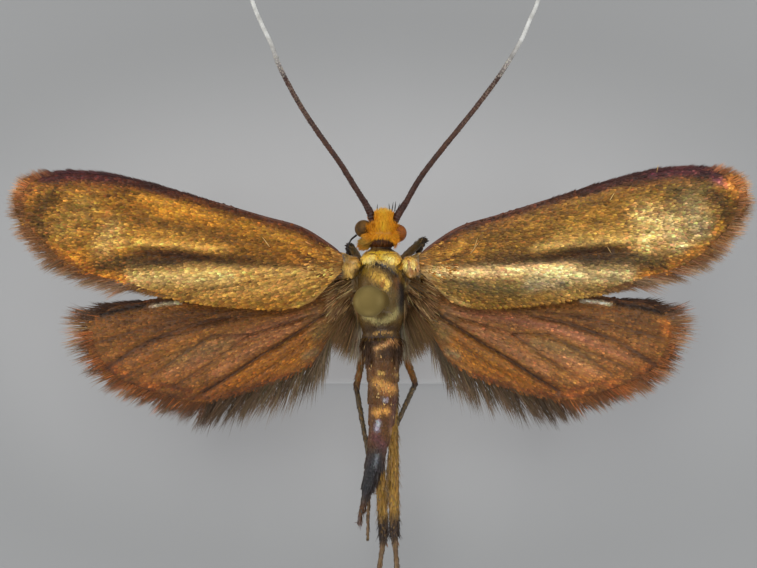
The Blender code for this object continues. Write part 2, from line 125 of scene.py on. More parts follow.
def new_mesh(name, points, corners, sizes, smooth, finish):
    """An object from points in millimetres, the corners of all its faces in a row and each face's size."""
    mesh = bpy.data.meshes.new(name)
    mesh.vertices.add(len(points))
    mesh.vertices.foreach_set("co", (points * MM).ravel())
    mesh.loops.add(len(corners))
    mesh.loops.foreach_set("vertex_index", corners.astype(np.int32))
    mesh.polygons.add(len(sizes))
    mesh.polygons.foreach_set("loop_start", np.append(0, np.cumsum(sizes)[:-1]).astype(np.int32))
    mesh.polygons.foreach_set("use_smooth", np.full(len(sizes), smooth))
    mesh.update(calc_edges=True)
    mesh.materials.append(finish)
    made = bpy.data.objects.new(name, mesh)
    bpy.context.scene.collection.objects.link(made)
    return made


def add_mesh(name, points, faces, finish):
    """A smooth object from points in millimetres and faces of any mix of sizes."""
    corners = np.concatenate([np.asarray(face) for face in faces])
    sizes = [len(face) for face in faces]
    made = new_mesh(name, np.asarray(points, dtype=float), corners, sizes, True, finish)
    made.data.validate()
    return made


half = FLOOR_SIZE / 2
floor_corners = [(x * half, y * half, FLOOR_LEVEL) for x, y in ((-1, -1), (1, -1), (1, 1), (-1, 1))]
floor_finish, floor_tree, floor_shader = new_finish("floor_paper", Roughness=0.9)
floor_grain = lay(floor_tree, "ShaderNodeTexNoise", {"Scale": 60.0, "Detail": 2.0}).outputs["Fac"]
floor_colour = mixed(floor_tree, floor_grain, FLOOR_GREY, tuple(part * 1.02 for part in FLOOR_GREY))
# Painted light: the floor is painted a paler grey round the stand, to cancel the shade that the moth casts
# there
floor_place = split(floor_tree, own_place(floor_tree))
floor_x = worked(floor_tree, "MULTIPLY", floor_place["X"], 0.5)
floor_x = worked(floor_tree, "MULTIPLY", floor_x, floor_x)
floor_y = worked(floor_tree, "MULTIPLY", floor_place["Y"], floor_place["Y"])
floor_reach = worked(floor_tree, "POWER", worked(floor_tree, "ADD", floor_x, floor_y), 0.5)
floor_painted_light = ranged(floor_tree, floor_reach, PAINTED_LIGHT_START, PAINTED_LIGHT_END, interpolation_type="SMOOTHSTEP")
floor_colour = mixed(floor_tree, floor_painted_light, FLOOR_PAINTED_LIGHT, floor_colour)
floor_tree.links.new(floor_colour, floor_shader.inputs["Base Color"])
floor = add_mesh("floor", floor_corners, [(0, 1, 2, 3)], floor_finish)

# name, place, size, strength in watts for each square metre, colour
PANELS = (
    ("overhead_panel", (-60, 120, 340), 240, 5.9, (1.0, 0.99, 0.97)),
    ("left_panel", (-300, -20, 90), 180, 8.6, (1.0, 0.98, 0.95)),
    ("right_panel", (300, 40, 90), 180, 7.9, (0.96, 0.98, 1.0)),
    ("front_panel", (20, -300, 90), 180, 7.2, (1.0, 1.0, 1.0)),
    ("back_panel", (0, 300, 90), 180, 6.2, (1.0, 1.0, 1.0)),
)
for name, place, size, strength, colour in PANELS:
    light = bpy.data.lights.new(name, "AREA")
    light.size = size * MM
    light.energy = strength * (size * MM) ** 2
    light.color = colour
    panel = bpy.data.objects.new(name, light)
    panel.location = Vector(place) * MM
    aim = Vector((0, 0, AXIS_HEIGHT)) - Vector(place)
    panel.rotation_euler = aim.to_track_quat("-Z", "Y").to_euler()
    bpy.context.scene.collection.objects.link(panel)
world = bpy.data.worlds.new("room")
world.use_nodes = True
world.node_tree.nodes["Background"].inputs["Color"].default_value = (0.93, 0.95, 1.0, 1)
world.node_tree.nodes["Background"].inputs["Strength"].default_value = 0.58
bpy.context.scene.world = world

# The stand: a matt plastic block and a brass insect pin, in one line through the thorax. The block is
# moulded with softened edges, and the pin's head is turned from the same wire.
def swatch(red, green, blue):
    """A colour as the shaders want it, from a painter's swatch of 0 to 255."""
    return tuple((value / 255) ** 2.2 for value in (red, green, blue))


def ramp(tree, share, *stops):
    """A colour from stops given as (share, colour)."""
    made = lay(tree, "ShaderNodeValToRGB", {"Fac": share})
    marks = made.color_ramp.elements
    while len(marks) < len(stops):
        marks.new(0.5)
    for mark, (place, colour) in zip(marks, stops):
        mark.position = place
        mark.color = (*colour, 1)
    return made.outputs["Color"]


def set_relief(tree, shader, height, strength, distance, **settings):
    """Fine relief on a finish. Its distance is in metres."""
    inputs = {"Strength": strength, "Distance": distance, "Height": height}
    bump = lay(tree, "ShaderNodeBump", inputs, **settings)
    tree.links.new(bump.outputs["Normal"], shader.inputs["Normal"])


block_finish, tree, shader = new_finish("block_plastic", Roughness=0.8)
grain = lay(tree, "ShaderNodeTexNoise", {"Scale": 9000.0, "Detail": 4.0, "Roughness": 0.6})
# Painted light and shade: the block is painted far paler than the floor, to cancel the shade that the moth
# casts on it, and its sloping faces are painted darker, so that its bevelled edge shows no bright line
colour = mixed(tree, grain.outputs["Fac"], (0.58, 0.58, 0.575), (0.62, 0.62, 0.615))
facing = split(tree, lay(tree, "ShaderNodeNewGeometry").outputs["True Normal"])["Z"]
colour = mixed(tree, ranged(tree, facing, 0.8, 0.99), (0.5, 0.5, 0.495), colour)
tree.links.new(colour, shader.inputs["Base Color"])
set_relief(tree, shader, grain.outputs["Fac"], 0.3, 0.00001)
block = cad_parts["stand_base"]
block.data.materials.clear()
block.data.materials.append(block_finish)

pin_finish, tree, shader = new_finish("pin_brass", Metallic=0.6)
tarnish = lay(tree, "ShaderNodeTexNoise", {"Scale": 2500.0, "Detail": 5.0, "Roughness": 0.65})
colour = ramp(tree, tarnish.outputs["Fac"], (0.3, swatch(104, 88, 46)), (0.7, swatch(136, 116, 64)))
tree.links.new(colour, shader.inputs["Base Color"])
tree.links.new(ranged(tree, tarnish.outputs["Fac"], to_low=0.45, to_high=0.7), shader.inputs["Roughness"])
PIN_RADIUS, PIN_HEAD_RADIUS, PIN_HEAD_DEPTH = 0.25, 0.42, 0.64
PIN_PARTS = {"stand_rod": (1.40, 4.40), "stand_pin": (5.60, 8.10)}
PIN_SIDES, PIN_HEAD_STEPS = 40, 16
PIN_LEAN = (-0.36, -0.03)
for name, (foot, top) in PIN_PARTS.items():
    rings = [(foot, PIN_RADIUS), (top, PIN_RADIUS)]
    if name == "stand_pin":
        rings = [(foot, PIN_RADIUS), (top - PIN_HEAD_DEPTH, PIN_RADIUS)]
        for step in range(1, PIN_HEAD_STEPS):
            turn = math.pi * step / PIN_HEAD_STEPS
            rise = top - PIN_HEAD_DEPTH * (1 + math.cos(turn)) / 2
            rings.append((rise, max(PIN_HEAD_RADIUS * math.sin(turn) ** 0.8, PIN_RADIUS * (step < 6))))
    points, faces = [], [tuple(range(PIN_SIDES - 1, -1, -1))]
    for height, radius in rings:
        lean = (height - foot) / (top - foot) if name == "stand_pin" else 0
        for k in range(PIN_SIDES):
            angle = 2 * math.pi * k / PIN_SIDES
            x = radius * math.cos(angle) + lean * PIN_LEAN[0]
            points.append((x, radius * math.sin(angle) + lean * PIN_LEAN[1], height))
    for ring in range(len(rings) - 1):
        for k in range(PIN_SIDES):
            near, after = ring * PIN_SIDES + k, ring * PIN_SIDES + (k + 1) % PIN_SIDES
            faces.append((near, after, after + PIN_SIDES, near + PIN_SIDES))
    faces.append(tuple(range((len(rings) - 1) * PIN_SIDES, len(rings) * PIN_SIDES)))
    wire = add_mesh("pin_" + name, points, faces, pin_finish)
    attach(wire, "root")
    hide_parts(name)

# The body: one dry skin of head, thorax and abdomen, with the shoulder plates at the wing roots and the
# overlapping rings of the abdomen. Its lofts are fused and softened into one surface.
SIDES = {"left": -1, "right": 1}
# The lofts stay this far inside the finished coat, and the fused skin has cells of this size, in mm
SKIN_DEPTH = 0.05
SKIN_GRAIN = 0.035
# Rings of the body from front to back: Y, half width, half depth, X, Z from the body's axis
THORAX = (
    (1.38, 0.30, 0.30, 0.00, -0.10),
    (1.28, 0.48, 0.46, 0.00, -0.05),
    (1.12, 0.60, 0.64, 0.00, -0.02),
    (0.70, 0.68, 0.82, 0.00, 0.00),
    (0.05, 0.70, 0.88, 0.00, 0.00),
    (-0.45, 0.66, 0.78, 0.00, -0.03),
    (-0.85, 0.54, 0.58, 0.00, -0.08),
    (-1.20, 0.50, 0.50, 0.01, -0.11),
)
HEAD = (
    (1.42, 0.34, 0.30, 0.00, -0.08),
    (1.53, 0.46, 0.46, 0.01, -0.06),
    (1.70, 0.50, 0.52, 0.01, -0.06),
    (1.92, 0.50, 0.58, 0.02, -0.06),
    (2.12, 0.36, 0.50, 0.04, -0.07),
    (2.30, 0.24, 0.32, 0.05, -0.10),
    (2.36, 0.10, 0.12, 0.05, -0.12),
)
ABDOMEN_START, ABDOMEN_END = -0.98, -5.10
ABDOMEN_RINGS = 7
ABDOMEN_HALF_WIDTHS = (0.57, 0.47, 0.44, 0.42, 0.36, 0.30, 0.26, 0.17)
ABDOMEN_DROP, ABDOMEN_SWING, ABDOMEN_BOW = 0.95, -0.38, 0.08
RING_STEP = 0.026
TAIL_TIP = (-0.62, -6.05, -1.15)
# Lobes on both sides, for the shoulder plates, the collar and the wing roots: centre and half sizes
LOBES = (
    ((0.78, 0.90, 0.34), (0.29, 0.34, 0.32)),
    ((0.27, 1.09, 0.44), (0.31, 0.22, 0.24)),
    ((0.78, 0.48, 0.08), (0.30, 0.36, 0.20)),
    ((1.12, 0.92, 0.38), (0.48, 0.42, 0.16)),
    ((0.88, 0.02, -0.36), (0.50, 0.52, 0.16)),
    ((0.70, -0.55, -0.42), (0.30, 0.36, 0.16)),
)
SCUTELLUM = ((0.0, -0.42, 0.52), (0.34, 0.32, 0.26))


def loft(stations, sides=28, inset=SKIN_DEPTH):
    """Points and faces of a closed body of oval rings."""
    points, faces = [], []
    for y, half_width, half_depth, x, z in stations:
        for k in range(sides):
            angle = 2 * math.pi * k / sides
            width, depth = max(0.03, half_width - inset), max(0.03, half_depth - inset)
            points.append((x + width * math.cos(angle), y, z + AXIS_HEIGHT + depth * math.sin(angle)))
    for ring in range(len(stations) - 1):
        for k in range(sides):
            near, after = ring * sides + k, ring * sides + (k + 1) % sides
            faces.append((near, after, after + sides, near + sides))
    faces.append(tuple(range(sides)))
    faces.append(tuple(range((len(stations) - 1) * sides, len(stations) * sides)))
    return points, faces


def abdomen_place(along):
    """Half width, centre X and centre Z of the abdomen at a share of its length."""
    half = np.interp(along, np.linspace(0, 1, len(ABDOMEN_HALF_WIDTHS)), ABDOMEN_HALF_WIDTHS)
    x = ABDOMEN_SWING * along ** 3 + ABDOMEN_BOW * math.sin(math.pi * along)
    return half, x, -0.10 - ABDOMEN_DROP * along ** 1.4


abdomen = []
for ring in range(ABDOMEN_RINGS):
    for share, step in ((0.06, -0.02), (0.35, 0.3), (0.88, 1.0), (0.97, 0.9), (1.0, 0.2)):
        along = (ring + share) / ABDOMEN_RINGS
        half, x, z = abdomen_place(along)
        step *= RING_STEP
        y = ABDOMEN_START + (ABDOMEN_END - ABDOMEN_START) * along
        abdomen.append((y, half + step + 0.01, half * 1.05 + step + 0.01, x, z))
last = abdomen[-1]
for share, radius in ((0.15, 0.15), (0.4, 0.12), (0.8, 0.10), (1.0, 0.07)):
    abdomen.append((
        last[0] + (TAIL_TIP[1] - last[0]) * share, radius, radius,
        last[3] + (TAIL_TIP[0] - last[3]) * share, last[4] + (TAIL_TIP[2] - last[4]) * share,
    ))


def ball(centre, size, detail=3):
    """Points and faces of a rounded lobe."""
    builder = bmesh.new()
    bmesh.ops.create_icosphere(builder, subdivisions=detail, radius=1)
    points = [tuple(c + s * v for c, s, v in zip(centre, size, vert.co)) for vert in builder.verts]
    faces = [tuple(vert.index for vert in face.verts) for face in builder.faces]
    builder.free()
    return [(x, y, z + AXIS_HEIGHT) for x, y, z in points], faces


NECK = ((1.55, 0.20, 0.22, 0.0, -0.1), (1.20, 0.26, 0.26, 0.0, -0.08))
lumps = [loft(THORAX), loft(HEAD), loft(abdomen), ball(*SCUTELLUM), loft(NECK, inset=0)]
for centre, size in LOBES:
    for sign in SIDES.values():
        lumps.append(ball((sign * centre[0], *centre[1:]), [max(0.08, s - SKIN_DEPTH) for s in size]))
points, faces = [], []
for lump_points, lump_faces in lumps:
    start = len(points)
    points += lump_points
    faces += [tuple(start + k for k in face) for face in lump_faces]


def new_group(name, inputs, outputs):
    """An effect that several finishes share, with its named sockets, its own input and its own output."""
    group = bpy.data.node_groups.new(name, "ShaderNodeTree")
    kinds = {"colour": "NodeSocketColor", "value": "NodeSocketFloat"}
    for way, sockets in (("INPUT", inputs), ("OUTPUT", outputs)):
        for socket, kind in sockets.items():
            group.interface.new_socket(socket, in_out=way, socket_type=kinds[kind])
    return group, group.nodes.new("NodeGroupInput").outputs, group.nodes.new("NodeGroupOutput").inputs


def use_group(tree, group, inputs):
    """A shared effect laid in a finish: its outputs by name."""
    return lay(tree, "ShaderNodeGroup", inputs, node_tree=group).outputs


# A cloudy grain that the skins share: two tints, and the height of its bumps
mottle_inputs = {"Scale": "value", "Low": "colour", "High": "colour"}
mottle_group, start, end = new_group("mottle", mottle_inputs, {"Colour": "colour", "Height": "value"})
grain = lay(mottle_group, "ShaderNodeTexNoise",
            {"Vector": own_place(mottle_group), "Scale": start["Scale"], "Detail": 4.0}).outputs["Fac"]
blend = mixed(mottle_group, ranged(mottle_group, grain, 0.3, 0.7), start["Low"], start["High"])
mottle_group.links.new(blend, end["Colour"])
mottle_group.links.new(grain, end["Height"])

# The skin's colour from the tail to the head, by Y in metres, its borders shifted a little by the grain. The
# near-black stops just behind the head are painted shadow, cast on the neck by the head's hair.
SKIN_TAIL, SKIN_FRONT, BORDER_SHIFT = -0.0062, 0.0026, 0.05
skin_finish, tree, shader = new_finish("body_skin", Metallic=0.2, Roughness=0.45)
along = ranged(tree, split(tree, own_place(tree))["Y"], SKIN_TAIL, SKIN_FRONT)
mottle = use_group(tree, mottle_group, {"Scale": 2600.0})["Height"]
shift = worked(tree, "MULTIPLY", worked(tree, "SUBTRACT", mottle, 0.5), BORDER_SHIFT)
colour = ramp(
    tree, worked(tree, "ADD", along, shift),
    (0.00, (0.16, 0.12, 0.09)), (0.10, (0.035, 0.045, 0.05)), (0.20, (0.05, 0.04, 0.045)),
    (0.30, (0.12, 0.05, 0.04)), (0.50, (0.14, 0.07, 0.03)), (0.60, (0.05, 0.03, 0.02)),
    (0.70, (0.17, 0.11, 0.04)), (0.79, (0.12, 0.07, 0.02)), (0.82, (0.50, 0.33, 0.09)),
    (0.845, (0.40, 0.22, 0.05)), (0.868, (0.03, 0.015, 0.008)), (0.886, (0.02, 0.01, 0.005)),
    (0.896, (0.62, 0.26, 0.03)),
)
tree.links.new(colour, shader.inputs["Base Color"])
set_relief(tree, shader, mottle, 0.5, 0.00002)

skin = add_mesh("body_skin", points, faces, skin_finish)

# The fusing step has a least cell of a tenth of a millimetre, so it works on the skin at a larger scale
REMESH_SCALE = 1000
for vert in skin.data.vertices:
    vert.co *= REMESH_SCALE
fuse = skin.modifiers.new("fuse", "REMESH")
fuse.mode = "VOXEL"
fuse.voxel_size = SKIN_GRAIN
fuse.use_smooth_shade = True
soften = skin.modifiers.new("soften", "SMOOTH")
soften.iterations = 3
soften.factor = 0.5
bpy.context.view_layer.update()
fused = bpy.data.meshes.new_from_object(skin.evaluated_get(bpy.context.evaluated_depsgraph_get()))
skin.modifiers.clear()
skin.data = fused
for vert in skin.data.vertices:
    vert.co /= REMESH_SCALE
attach(skin, "root")
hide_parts("thorax", "head", "abdomen")


# The coat of the body: flat scales that overlap backwards on thorax and abdomen, and long hair scales on
# the head and the wing roots. Each is a thin tapered vane of horny skin, rooted in the body and painted
# where it stands.
VANE_PATCH = 0.003
# Width along a vane, as (share of its length, share of its width)
SCALE_PROFILE = ((0.0, 0.45), (0.7, 1.0))
HAIR_PROFILE = ((0.0, 0.9), (0.4, 1.0), (0.75, 0.65))
draw = np.random.default_rng(11)


def unit(vectors):
    """The same directions with a length of 1."""
    return vectors / (np.linalg.norm(vectors, axis=1)[:, None] + 1e-12)


def stain(mesh, colours):
    """A colour kept at each point of a mesh."""
    kept = mesh.attributes.new("paint", "FLOAT_COLOR", "POINT")
    kept.data.foreach_set("color", np.column_stack((colours, np.ones(len(colours)))).ravel())


def vanes(name, roots, ways, ups, lengths, widths, finish, unwrap, paints, profile=SCALE_PROFILE,
          depth=0.18, bend=0.0, variety=0.15, smooth=False):
    """One mesh of thin tapered vanes: three-sided rings along each, a point at the tip and a closed root.

    unwrap gives each root's place on the skin's own unwrapping, paints its colour and variety how much the
    vanes differ in brightness. One value can stand for all the vanes.
    """
    count, rings = len(roots), len(profile)
    per = 3 * rings + 1
    variety = np.broadcast_to(variety, count)
    lengths, widths, bend = (np.broadcast_to(value, count)[:, None] for value in (lengths, widths, bend))
    across = unit(np.cross(ways, ups))
    ups = np.cross(across, ways)
    points = np.zeros((count, per, 3))
    for ring, (share, width) in enumerate(profile):
        middle = roots + ways * (lengths * share) + ups * (bend * lengths * share ** 2)
        half = widths * width / 2
        points[:, 3 * ring] = middle - across * half
        points[:, 3 * ring + 1] = middle + ups * half * depth * 2
        points[:, 3 * ring + 2] = middle + across * half
    points[:, -1] = roots + ways * lengths + ups * (bend * lengths)
    turns, last = ((0, 1), (1, 2), (2, 0)), 3 * (rings - 1)
    quads = [(k + base, j + base, j + base + 3, k + base + 3) for base in range(0, last, 3) for j, k in turns]
    corners = [(0, 1, 2)] + [(k + last, j + last, 3 * rings) for j, k in turns]
    starts = (np.arange(count) * per)[:, None, None]
    quad_faces = (np.array(quads)[None] + starts).reshape(-1, 4)
    corner_faces = (np.array(corners)[None] + starts).reshape(-1, 3)
    loops = np.concatenate((quad_faces.ravel(), corner_faces.ravel()))
    sizes = np.repeat((4, 3), (len(quad_faces), len(corner_faces)))
    made = new_mesh(name, points.reshape(-1, 3), loops, sizes, smooth, finish)
    shares = np.append(np.repeat([share for share, _ in profile], 3), 1.0)
    patch = np.column_stack((np.append(np.tile((-0.5, 0.0, 0.5), rings), 0.0), shares)) * VANE_PATCH
    spread = (np.broadcast_to(unwrap, (count, 2))[:, None] + patch[None]).reshape(-1, 2)
    made.data.uv_layers.new(name="OFBake").data.foreach_set("uv", spread[loops].ravel())
    shine = np.exp(draw.normal(0, 1, count) * variety)[:, None]
    colours = paints * shine * np.exp(draw.normal(0, 0.3, (count, 3)) * variety[:, None])
    stain(made.data, np.repeat(np.clip(colours, 0, 1), per, axis=0))
    turn = np.repeat(draw.random(count), per)
    tone = np.column_stack((turn, np.tile(shares, count), np.zeros(count * per)))
    kept = made.data.attributes.new("tone", "FLOAT_VECTOR", "POINT")
    kept.data.foreach_set("vector", tone.ravel())
    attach(made, "root")
    return made


def stroke_gap(places, line):
    """How far each place is from a stroke's line."""
    line = np.array(line, dtype=float)
    gap = np.linalg.norm(places - line[0], axis=1)
    for start, end in zip(line, line[1:]):
        way = end - start
        along = np.clip(((places - start) @ way) / (way @ way), 0, 1)
        gap = np.minimum(gap, np.linalg.norm(places - start - along[:, None] * way, axis=1))
    return gap


def lay_over(colours, colour, weight):
    """A swatch laid over the colours, as strongly as its weight at each of them."""
    colours += (np.array(swatch(*colour)) - colours) * weight[:, None]


def painted(places, ground, strokes, cover=1.0):
    """Colours at flat places: the ground swatch, and each soft stroke of paint laid over it in turn.

    A stroke has its swatch, its strength, its width and the points that it runs through.
    """
    colours = np.tile(swatch(*ground), (len(places), 1))
    for colour, strength, width, *line in strokes:
        lay_over(colours, colour, strength * cover * np.exp(-(stroke_gap(places, line) / width) ** 2))
    return colours


def blended(shares, *stops):
    """Colours that pass through the swatches at their shares."""
    marks = [share for share, _ in stops]
    colours = np.array([swatch(*colour) for _, colour in stops])
    return np.column_stack([np.interp(shares, marks, colours[:, k]) for k in range(3)])


# Each vane's own paint, darker towards its root, partly its own colour and partly painted shade where the
# vanes lie over each other, and its own gloss
vane_group, start, end = new_group(
    "vane_paint", {"Root Shade": "value", "Gloss": "value"}, {"Colour": "colour", "Roughness": "value"})
GLOSS_SPREAD = 0.1
own = lay(vane_group, "ShaderNodeAttribute", attribute_name="paint").outputs["Color"]
tones = split(vane_group, lay(vane_group, "ShaderNodeAttribute", attribute_name="tone").outputs["Vector"])
shade = ranged(vane_group, tones["Y"], to_low=start["Root Shade"])
vane_group.links.new(mixed(vane_group, shade, (0.0, 0.0, 0.0), own), end["Colour"])
glossy, dull = (worked(vane_group, way, start["Gloss"], GLOSS_SPREAD) for way in ("SUBTRACT", "ADD"))
vane_group.links.new(ranged(vane_group, tones["X"], to_low=glossy, to_high=dull), end["Roughness"])


def vane_finish(name, root_shade, gloss, **shader_values):
    """A finish that takes each vane's own paint."""
    finish, tree, shader = new_finish(name, **shader_values)
    looks = use_group(tree, vane_group, {"Root Shade": root_shade, "Gloss": gloss})
    tree.links.new(looks["Colour"], shader.inputs["Base Color"])
    tree.links.new(looks["Roughness"], shader.inputs["Roughness"])
    return finish


def sprinkle(piece, density):
    """Roots in millimetres and normals spread at random over a piece, density for each square mm."""
    mesh = piece.data
    mesh.calc_loop_triangles()
    corners = np.zeros(len(mesh.loop_triangles) * 3, dtype=np.int32)
    mesh.loop_triangles.foreach_get("vertices", corners)
    places = np.zeros(len(mesh.vertices) * 3)
    mesh.vertices.foreach_get("co", places)
    triangles = (places.reshape(-1, 3) / MM)[corners.reshape(-1, 3)]
    normals = np.cross(triangles[:, 1] - triangles[:, 0], triangles[:, 2] - triangles[:, 0])
    areas = np.linalg.norm(normals, axis=1) / 2
    picked = draw.choice(len(areas), int(areas.sum() * density), p=areas / areas.sum())
    first, second = draw.random(len(picked)), draw.random(len(picked))
    over = first + second > 1
    first[over], second[over] = 1 - first[over], 1 - second[over]
    chosen = triangles[picked]
    roots = (chosen[:, 0] + (chosen[:, 1] - chosen[:, 0]) * first[:, None]
             + (chosen[:, 2] - chosen[:, 0]) * second[:, None])
    return roots, unit(normals[picked])


def laid_back(normals, flow, lift, scatter):
    """Directions that follow flow along the surface, raised by lift and scattered a little."""
    flat = flow - normals * (flow * normals).sum(axis=1)[:, None]
    strays = draw.normal(0, scatter, normals.shape)
    strays -= normals * ((strays * normals).sum(axis=1) * 0.6)[:, None]
    return unit(unit(flat) + normals * lift[:, None] + strays)


def body_unwrap(roots):
    """Round the body's axis and along it."""
    around = np.arctan2(roots[:, 2] - AXIS_HEIGHT, roots[:, 0]) / (2 * math.pi) + 0.5
    return np.column_stack((around * 0.98 + 0.01, (roots[:, 1] + 6.2) / 9.0))


# The body's paint as seen from above, in millimetres: swatch, strength, width, points
THORAX_GROUND = (98, 74, 38)
THORAX_STROKES = (
    ((106, 88, 46), 0.8, 0.50, (-0.10, -0.05)),
    ((74, 48, 22), 0.9, 0.12, (-0.52, 0.76), (-0.30, 0.90), (0.05, 0.93), (0.34, 0.82), (0.44, 0.50)),
    ((122, 76, 26), 0.8, 0.10, (0.42, 0.68), (0.44, 0.36)),
    # Partly the collar's own red-brown edge and partly painted shade, where the head overhangs it
    ((84, 44, 20), 0.95, 0.10, (-0.56, 1.12), (-0.30, 1.40), (0.06, 1.46), (0.42, 1.32), (0.56, 0.96)),
    ((214, 144, 50), 0.9, 0.09, (-0.58, 0.98), (-0.32, 1.26), (0.06, 1.33), (0.42, 1.19), (0.54, 0.84)),
    ((255, 204, 58), 1.0, 0.18, (-0.48, 0.97), (-0.18, 1.16), (0.22, 1.14), (0.45, 0.94)),
    # Painted highlights: two pale spots on the collar's gold band, where it catches the light
    ((255, 226, 112), 0.95, 0.075, (-0.42, 1.04), (-0.22, 1.13)),
    ((255, 230, 124), 0.95, 0.075, (0.10, 1.15), (0.30, 1.08)),
    ((212, 162, 66), 0.95, 0.14, (-0.17, 0.66), (-0.02, 0.58)),
    ((255, 206, 96), 1.0, 0.065, (0.05, 0.60), (0.18, 0.46), (0.12, 0.34)),
    ((160, 96, 34), 0.8, 0.06, (0.06, 0.50), (0.02, 0.40)),
    ((30, 22, 18), 0.97, 0.085, (-0.60, 0.84), (-0.36, 0.91), (-0.07, 0.96), (0.15, 0.85), (0.40, 0.68)),
    ((150, 132, 78), 0.8, 0.06, (0.60, 0.80), (0.64, 0.40)),
    ((176, 160, 100), 0.9, 0.085, (-0.42, -0.40), (-0.05, -0.60), (0.30, -0.45), (0.50, -0.22)),
    ((64, 46, 28), 0.85, 0.16, (-0.40, -0.78), (0.45, -0.78)),
    ((196, 150, 84), 0.8, 0.04, (-0.20, -0.90), (0.30, -0.88)),
    # Painted shade: the dark crevice down the right side of the thorax
    ((30, 30, 34), 0.9, 0.11, (0.52, 0.42), (0.56, 0.15), (0.54, -0.25)),
    # Partly the right shoulder plate's gold and partly a painted highlight, on its upper part
    ((250, 190, 74), 1.0, 0.15, (0.60, 1.12), (0.80, 1.00)),
    ((196, 140, 52), 0.9, 0.14, (0.84, 0.76), (0.70, 0.62)),
    # Painted highlights: two pale spots on the right shoulder plate
    ((255, 228, 128), 1.0, 0.055, (0.64, 1.02), (0.69, 0.88)),
    ((255, 224, 124), 1.0, 0.060, (0.84, 0.98), (0.87, 0.90)),
    ((150, 90, 30), 0.85, 0.030, (0.75, 1.02), (0.77, 0.84), (0.86, 0.74)),
    # Painted shade along the outer side of the right shoulder plate
    ((188, 124, 46), 0.9, 0.05, (0.96, 1.02), (0.98, 0.80)),
    ((90, 60, 32), 0.85, 0.06, (-0.68, 0.80), (-0.92, 0.66)),
    ((84, 56, 30), 0.8, 0.04, (-0.80, 1.06), (-0.76, 0.88)),
    ((52, 38, 22), 0.9, 0.05, (0.56, 0.80), (0.66, 0.54), (0.86, 0.46), (1.02, 0.62)),
    # Partly the left shoulder plate's gold and partly painted highlights on it
    ((232, 184, 92), 0.9, 0.10, (-0.92, 0.86), (-0.84, 0.62)),
    ((206, 150, 60), 0.85, 0.16, (-0.74, 1.08)),
    ((232, 184, 104), 0.9, 0.07, (-0.68, 1.00), (-0.80, 0.84)),
)
ABDOMEN_GROUND = (98, 65, 34)
ABDOMEN_STROKES = (
    ((58, 40, 24), 0.9, 0.26, (-0.36, -1.20), (0.45, -1.25)),
    ((214, 178, 112), 0.9, 0.045, (-0.32, -0.95), (0.10, -0.92), (0.50, -0.86)),
    ((34, 26, 20), 0.9, 0.05, (-0.35, -1.04), (0.50, -1.02)),
    ((208, 150, 92), 0.9, 0.075, (-0.12, -1.30), (0.32, -1.06)),
    ((214, 156, 84), 0.8, 0.07, (-0.10, -1.48)),
    ((60, 42, 28), 0.8, 0.10, (0.30, -1.45), (-0.30, -1.50)),
    # Painted highlights: small bright gold glints on the first rings
    ((220, 172, 92), 0.9, 0.05, (-0.06, -1.97), (0.06, -1.97)),
    ((220, 172, 92), 0.8, 0.05, (0.42, -2.02)),
    ((84, 62, 34), 0.7, 0.08, (-0.44, -1.60), (-0.40, -2.80)),
    ((84, 62, 34), 0.7, 0.08, (0.50, -1.60), (0.46, -2.80)),
    ((214, 156, 82), 0.95, 0.12, (-0.14, -2.20), (0.12, -2.28)),
    ((206, 146, 76), 0.95, 0.13, (0.06, -2.36), (0.30, -2.40)),
    ((128, 78, 44), 0.7, 0.05, (0.02, -2.45), (0.20, -2.58)),
    # Painted highlight: a bluish-white glint
    ((206, 206, 212), 0.8, 0.06, (0.12, -2.68)),
    ((224, 160, 80), 0.95, 0.09, (-0.16, -3.02), (0.04, -2.96), (0.24, -3.00)),
    ((206, 142, 70), 0.9, 0.06, (-0.10, -3.12)),
    ((196, 146, 96), 0.7, 0.05, (0.30, -3.15), (0.28, -3.60)),
    ((86, 56, 50), 0.8, 0.10, (0.36, -2.70), (0.30, -3.40)),
    # Painted highlight: a bluish-white glint
    ((190, 192, 206), 0.85, 0.07, (-0.08, -3.30), (-0.12, -3.48)),
    ((104, 64, 66), 0.8, 0.16, (-0.15, -3.70), (0.05, -3.95)),
    ((60, 56, 56), 1.0, 0.40, (-0.15, -4.40), (-0.45, -5.20)),
    ((46, 46, 48), 0.8, 0.20, (-0.18, -4.25), (-0.40, -5.05)),
    ((120, 124, 126), 0.7, 0.06, (-0.10, -4.20), (-0.16, -4.50)),
    ((128, 114, 112), 0.8, 0.14, (-0.66, -6.00)),
    ((178, 180, 162), 0.8, 0.09, (-0.64, -5.42)),
)
ROOT_GROUND = (158, 118, 72)
ROOT_STROKES = (
    ((40, 30, 26), 0.9, 0.16, (0.66, 0.50), (0.66, -0.25)),
    ((76, 54, 34), 0.7, 0.18, (1.05, 0.45), (1.25, 0.25)),
    ((84, 60, 38), 0.6, 0.16, (-1.00, 0.40), (-1.15, 0.20)),
    ((214, 170, 96), 0.85, 0.06, (1.16, 0.40), (1.55, 0.10)),
    ((196, 150, 84), 0.7, 0.05, (-1.10, 0.30), (-1.35, -0.05)),
    ((120, 104, 82), 0.6, 0.12, (0.85, -0.55), (-0.85, -0.60)),
)
SHOULDER_GROUND = (104, 72, 34)
